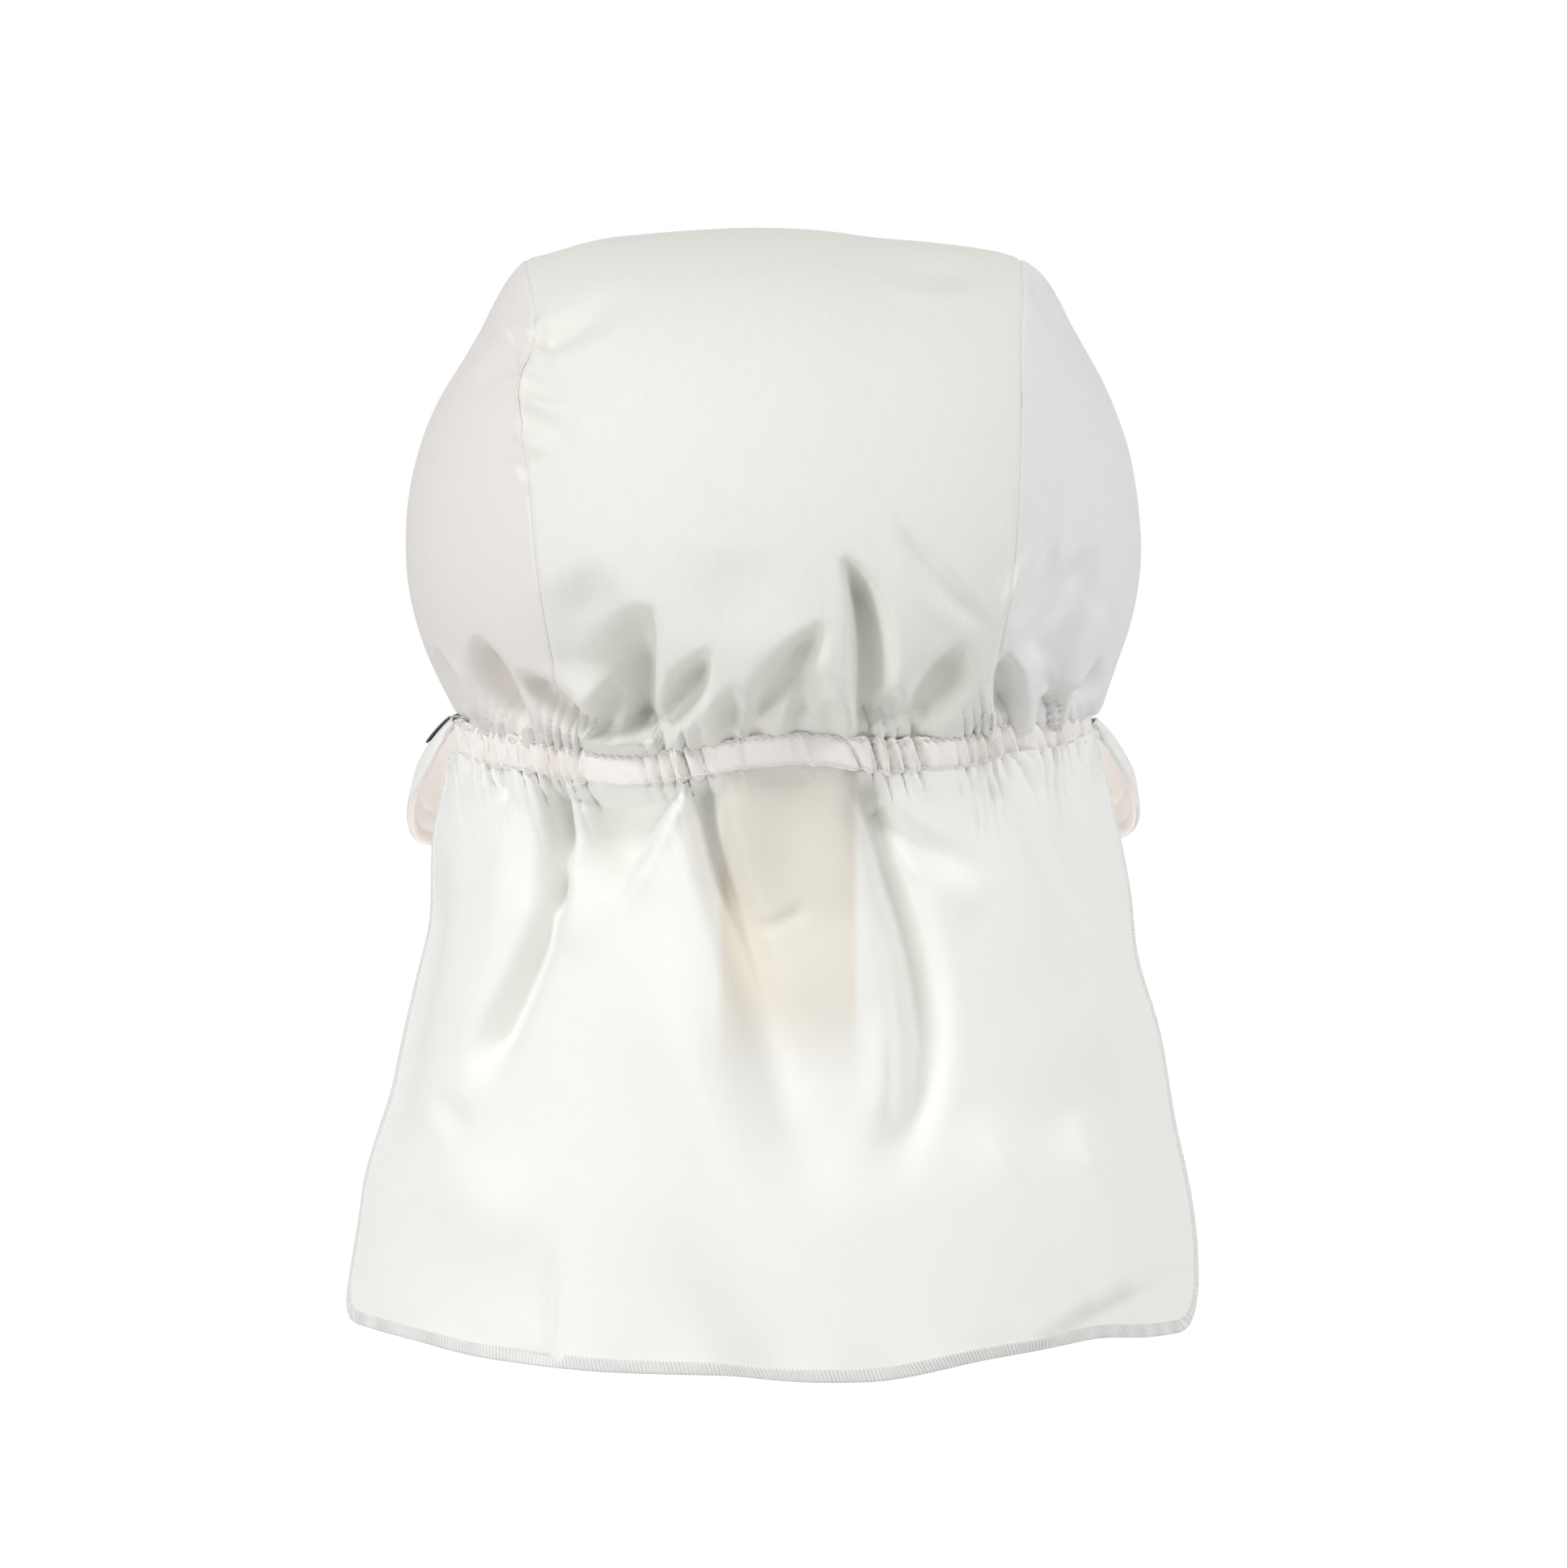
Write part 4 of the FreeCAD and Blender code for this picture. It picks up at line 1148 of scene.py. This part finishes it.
# --- Labels ---
# A small dark woven label, left bare, is tacked beside the left temple. A blank satin care
# label hangs inside the flap from the casing's seam.


def satin(name, pale, deep, roughness):
    return cotton(name, pale, deep, roughness, weave_depth=0.25, crumple_depth=0.15, sheen=0.0)


dark_label = satin("Dark label", (0.055, 0.055, 0.06), (0.035, 0.035, 0.04), 0.6)
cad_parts["side_label"].data.materials.clear()
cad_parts["side_label"].data.materials.append(dark_label)
pale_label = satin("Care label", (0.86, 0.82, 0.72), (0.82, 0.78, 0.68), 0.45)
LABEL_FLAT = (33 * mm, 72 * mm)
LABEL_LEFT = PATCH_LEFT
LABEL_START = 0.012
LABEL_BEHIND = 2.0 * mm
LABEL_CLOTH = 0.3 * mm
label_reach = np.linspace(-0.4, 0.5, 91)
label_reach_x = flap_base(label_reach, np.full(91, 0.2))[:, 0]


def care_label_shape(share_across, share_down):
    """The label follows the folds of the flap that it hangs behind."""
    x = LABEL_LEFT + LABEL_FLAT[0] * share_across
    down = LABEL_START + share_down * LABEL_FLAT[1] / FLAP_FLAT[1]
    across = np.interp(x, label_reach_x, label_reach)
    n = surface_normal(flap_shares, (across + 1) / 2, down, FLAP_INSIDE)
    return flap_place(across, down) - n * LABEL_BEHIND


care_label = cloth_piece("care_label_satin", 36, 80, care_label_shape, LABEL_FLAT, FLAP_INSIDE,
                         LABEL_CLOTH, pale_label, 0.0)
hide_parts("care_label")
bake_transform(care_label)

# --- Inside of the cap ---
# Overlocked seam allowances, the cotton sweatband with its row of stitching, the elastic, the
# bartacks that hold its ends, and the visor's interlining.

inside_materials = {
    "visor_seam_overlock": sewing_thread,
    "flap_seam_overlock": sewing_thread,
    "left_elastic_bartack": sewing_thread,
    "right_elastic_bartack": sewing_thread,
    "sweatband_stitching": sewing_thread,
    "side_label_stitching": sewing_thread,
    "sweatband": casing_cotton_painted_light,
    "elastic_tape": satin("Elastic", (0.84, 0.84, 0.83), (0.7, 0.7, 0.7), 0.7),
    "visor_interlining_sides": satin("Interlining", (0.8, 0.8, 0.79), (0.75, 0.75, 0.74), 0.9),
}
inside_materials["visor_interlining_front"] = inside_materials["visor_interlining_sides"]
for node, material in inside_materials.items():
    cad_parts[node].data.materials.clear()
    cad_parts[node].data.materials.append(material)

# --- Floor, backdrop, lamps and camera ---
# A pale floor well below the hem and an even white sky. Two soft lamps stand above the camera's
# sides and two low ones beside it, with a strip on the right and a small lamp below the cap.

FLOOR_HEIGHT = -330 * mm
FLOOR_REACH = 6.0
FLOOR_GLOW = 0.74
SKY_LEVEL = 0.43
floor_grid = bmesh.new()
bmesh.ops.create_grid(floor_grid, x_segments=1, y_segments=1, size=FLOOR_REACH)
bmesh.ops.translate(floor_grid, verts=floor_grid.verts, vec=(0, 0, FLOOR_HEIGHT))
floor_mesh = bpy.data.meshes.new("floor")
floor_grid.to_mesh(floor_mesh)
floor_grid.free()
floor = bpy.data.objects.new("floor", floor_mesh)
bpy.context.scene.collection.objects.link(floor)
floor_paint = bpy.data.materials.new("Pale floor")
floor_paint.use_nodes = True
nodes, links = floor_paint.node_tree.nodes, floor_paint.node_tree.links
shader = nodes["Principled BSDF"]
shader.inputs["Base Color"].default_value = (0.75, 0.75, 0.75, 1)
shader.inputs["Roughness"].default_value = 0.9
shader.inputs["Specular IOR Level"].default_value = 0.0
rays = nodes.new("ShaderNodeLightPath")
glow = nodes.new("ShaderNodeEmission")
glow.inputs["Color"].default_value = (1, 1, 1, 1)
glow.inputs["Strength"].default_value = FLOOR_GLOW
dark = nodes.new("ShaderNodeEmission")
dark.inputs["Strength"].default_value = 0.0
pick = nodes.new("ShaderNodeMixShader")
total = nodes.new("ShaderNodeAddShader")
links.new(rays.outputs["Is Camera Ray"], pick.inputs[0])
links.new(dark.outputs[0], pick.inputs[1])
links.new(glow.outputs[0], pick.inputs[2])
links.new(shader.outputs[0], total.inputs[0])
links.new(pick.outputs[0], total.inputs[1])
links.new(total.outputs[0], nodes["Material Output"].inputs["Surface"])
floor.data.materials.append(floor_paint)

world = bpy.data.worlds.new("White surround")
bpy.context.scene.world = world
world.use_nodes = True
nodes, links = world.node_tree.nodes, world.node_tree.links
sky = nodes["Background"]
sky.inputs["Color"].default_value = (1, 1, 1, 1)
sky.inputs["Strength"].default_value = SKY_LEVEL
seen = nodes.new("ShaderNodeBackground")
seen.inputs["Color"].default_value = (1, 1, 1, 1)
seen.inputs["Strength"].default_value = 1.0
rays = nodes.new("ShaderNodeLightPath")
either = math_node(world.node_tree, "MAXIMUM", rays.outputs["Is Camera Ray"],
                   rays.outputs["Is Glossy Ray"])
most = math_node(world.node_tree, "MAXIMUM", either, rays.outputs["Is Transmission Ray"])
pick = nodes.new("ShaderNodeMixShader")
links.new(most, pick.inputs[0])
links.new(sky.outputs[0], pick.inputs[1])
links.new(seen.outputs[0], pick.inputs[2])
links.new(pick.outputs[0], nodes["World Output"].inputs["Surface"])


def soft_lamp(name, place, target, size, power):
    data = bpy.data.lights.new(name, "AREA")
    data.shape = "DISK"
    data.size = size
    data.energy = power
    lamp = bpy.data.objects.new(name, data)
    lamp.location = place
    lamp.rotation_euler = (Vector(target) - Vector(place)).to_track_quat("-Z", "Y").to_euler()
    bpy.context.scene.collection.objects.link(lamp)
    return lamp


# Name, place, width and power.
LAMP_TARGET = (0, 0, -20 * mm)
LAMPS = (
    ("Key softbox", (-0.9, -0.9, 1.2), 0.5, 8.5),
    ("Right softbox", (0.8, -1.0, 1.0), 0.5, 5.0),
    ("Left fill", (-1.2, -1.1, -0.05), 0.5, 4.8),
    ("Right fill", (1.1, -1.2, -0.05), 0.5, 0.9),
    ("Right strip", (1.6, 0.15, 0.2), 0.7, 4.5),
    ("Under lamp", (0, 0.15, -0.31), 0.3, 0.85),
)
for name, place, size, power in LAMPS:
    soft_lamp(name, place, LAMP_TARGET, size, power)

CAMERA_DISTANCE = 1.8
CAMERA_RISE = np.radians(4.0)
CAMERA_TARGET = Vector((0.0, 0.0, -12.2 * mm))
CAMERA_ASIDE = 2.5 * mm
FRAME_WIDTH = 386.2 * mm
SENSOR_WIDTH = 36
camera_data = bpy.data.cameras.new("Camera")
camera_data.sensor_width = SENSOR_WIDTH
camera_data.lens = SENSOR_WIDTH * CAMERA_DISTANCE / FRAME_WIDTH
camera = bpy.data.objects.new("Camera", camera_data)
aim = CAMERA_TARGET + Vector((CAMERA_ASIDE, 0, 0))
camera.location = aim + Vector((0, -CAMERA_DISTANCE * np.cos(CAMERA_RISE),
                                CAMERA_DISTANCE * np.sin(CAMERA_RISE)))
look = aim - camera.location
camera.rotation_euler = look.to_track_quat("-Z", "Y").to_euler()
bpy.context.scene.collection.objects.link(camera)
bpy.context.scene.camera = camera
bpy.context.scene.view_settings.view_transform = "Standard"
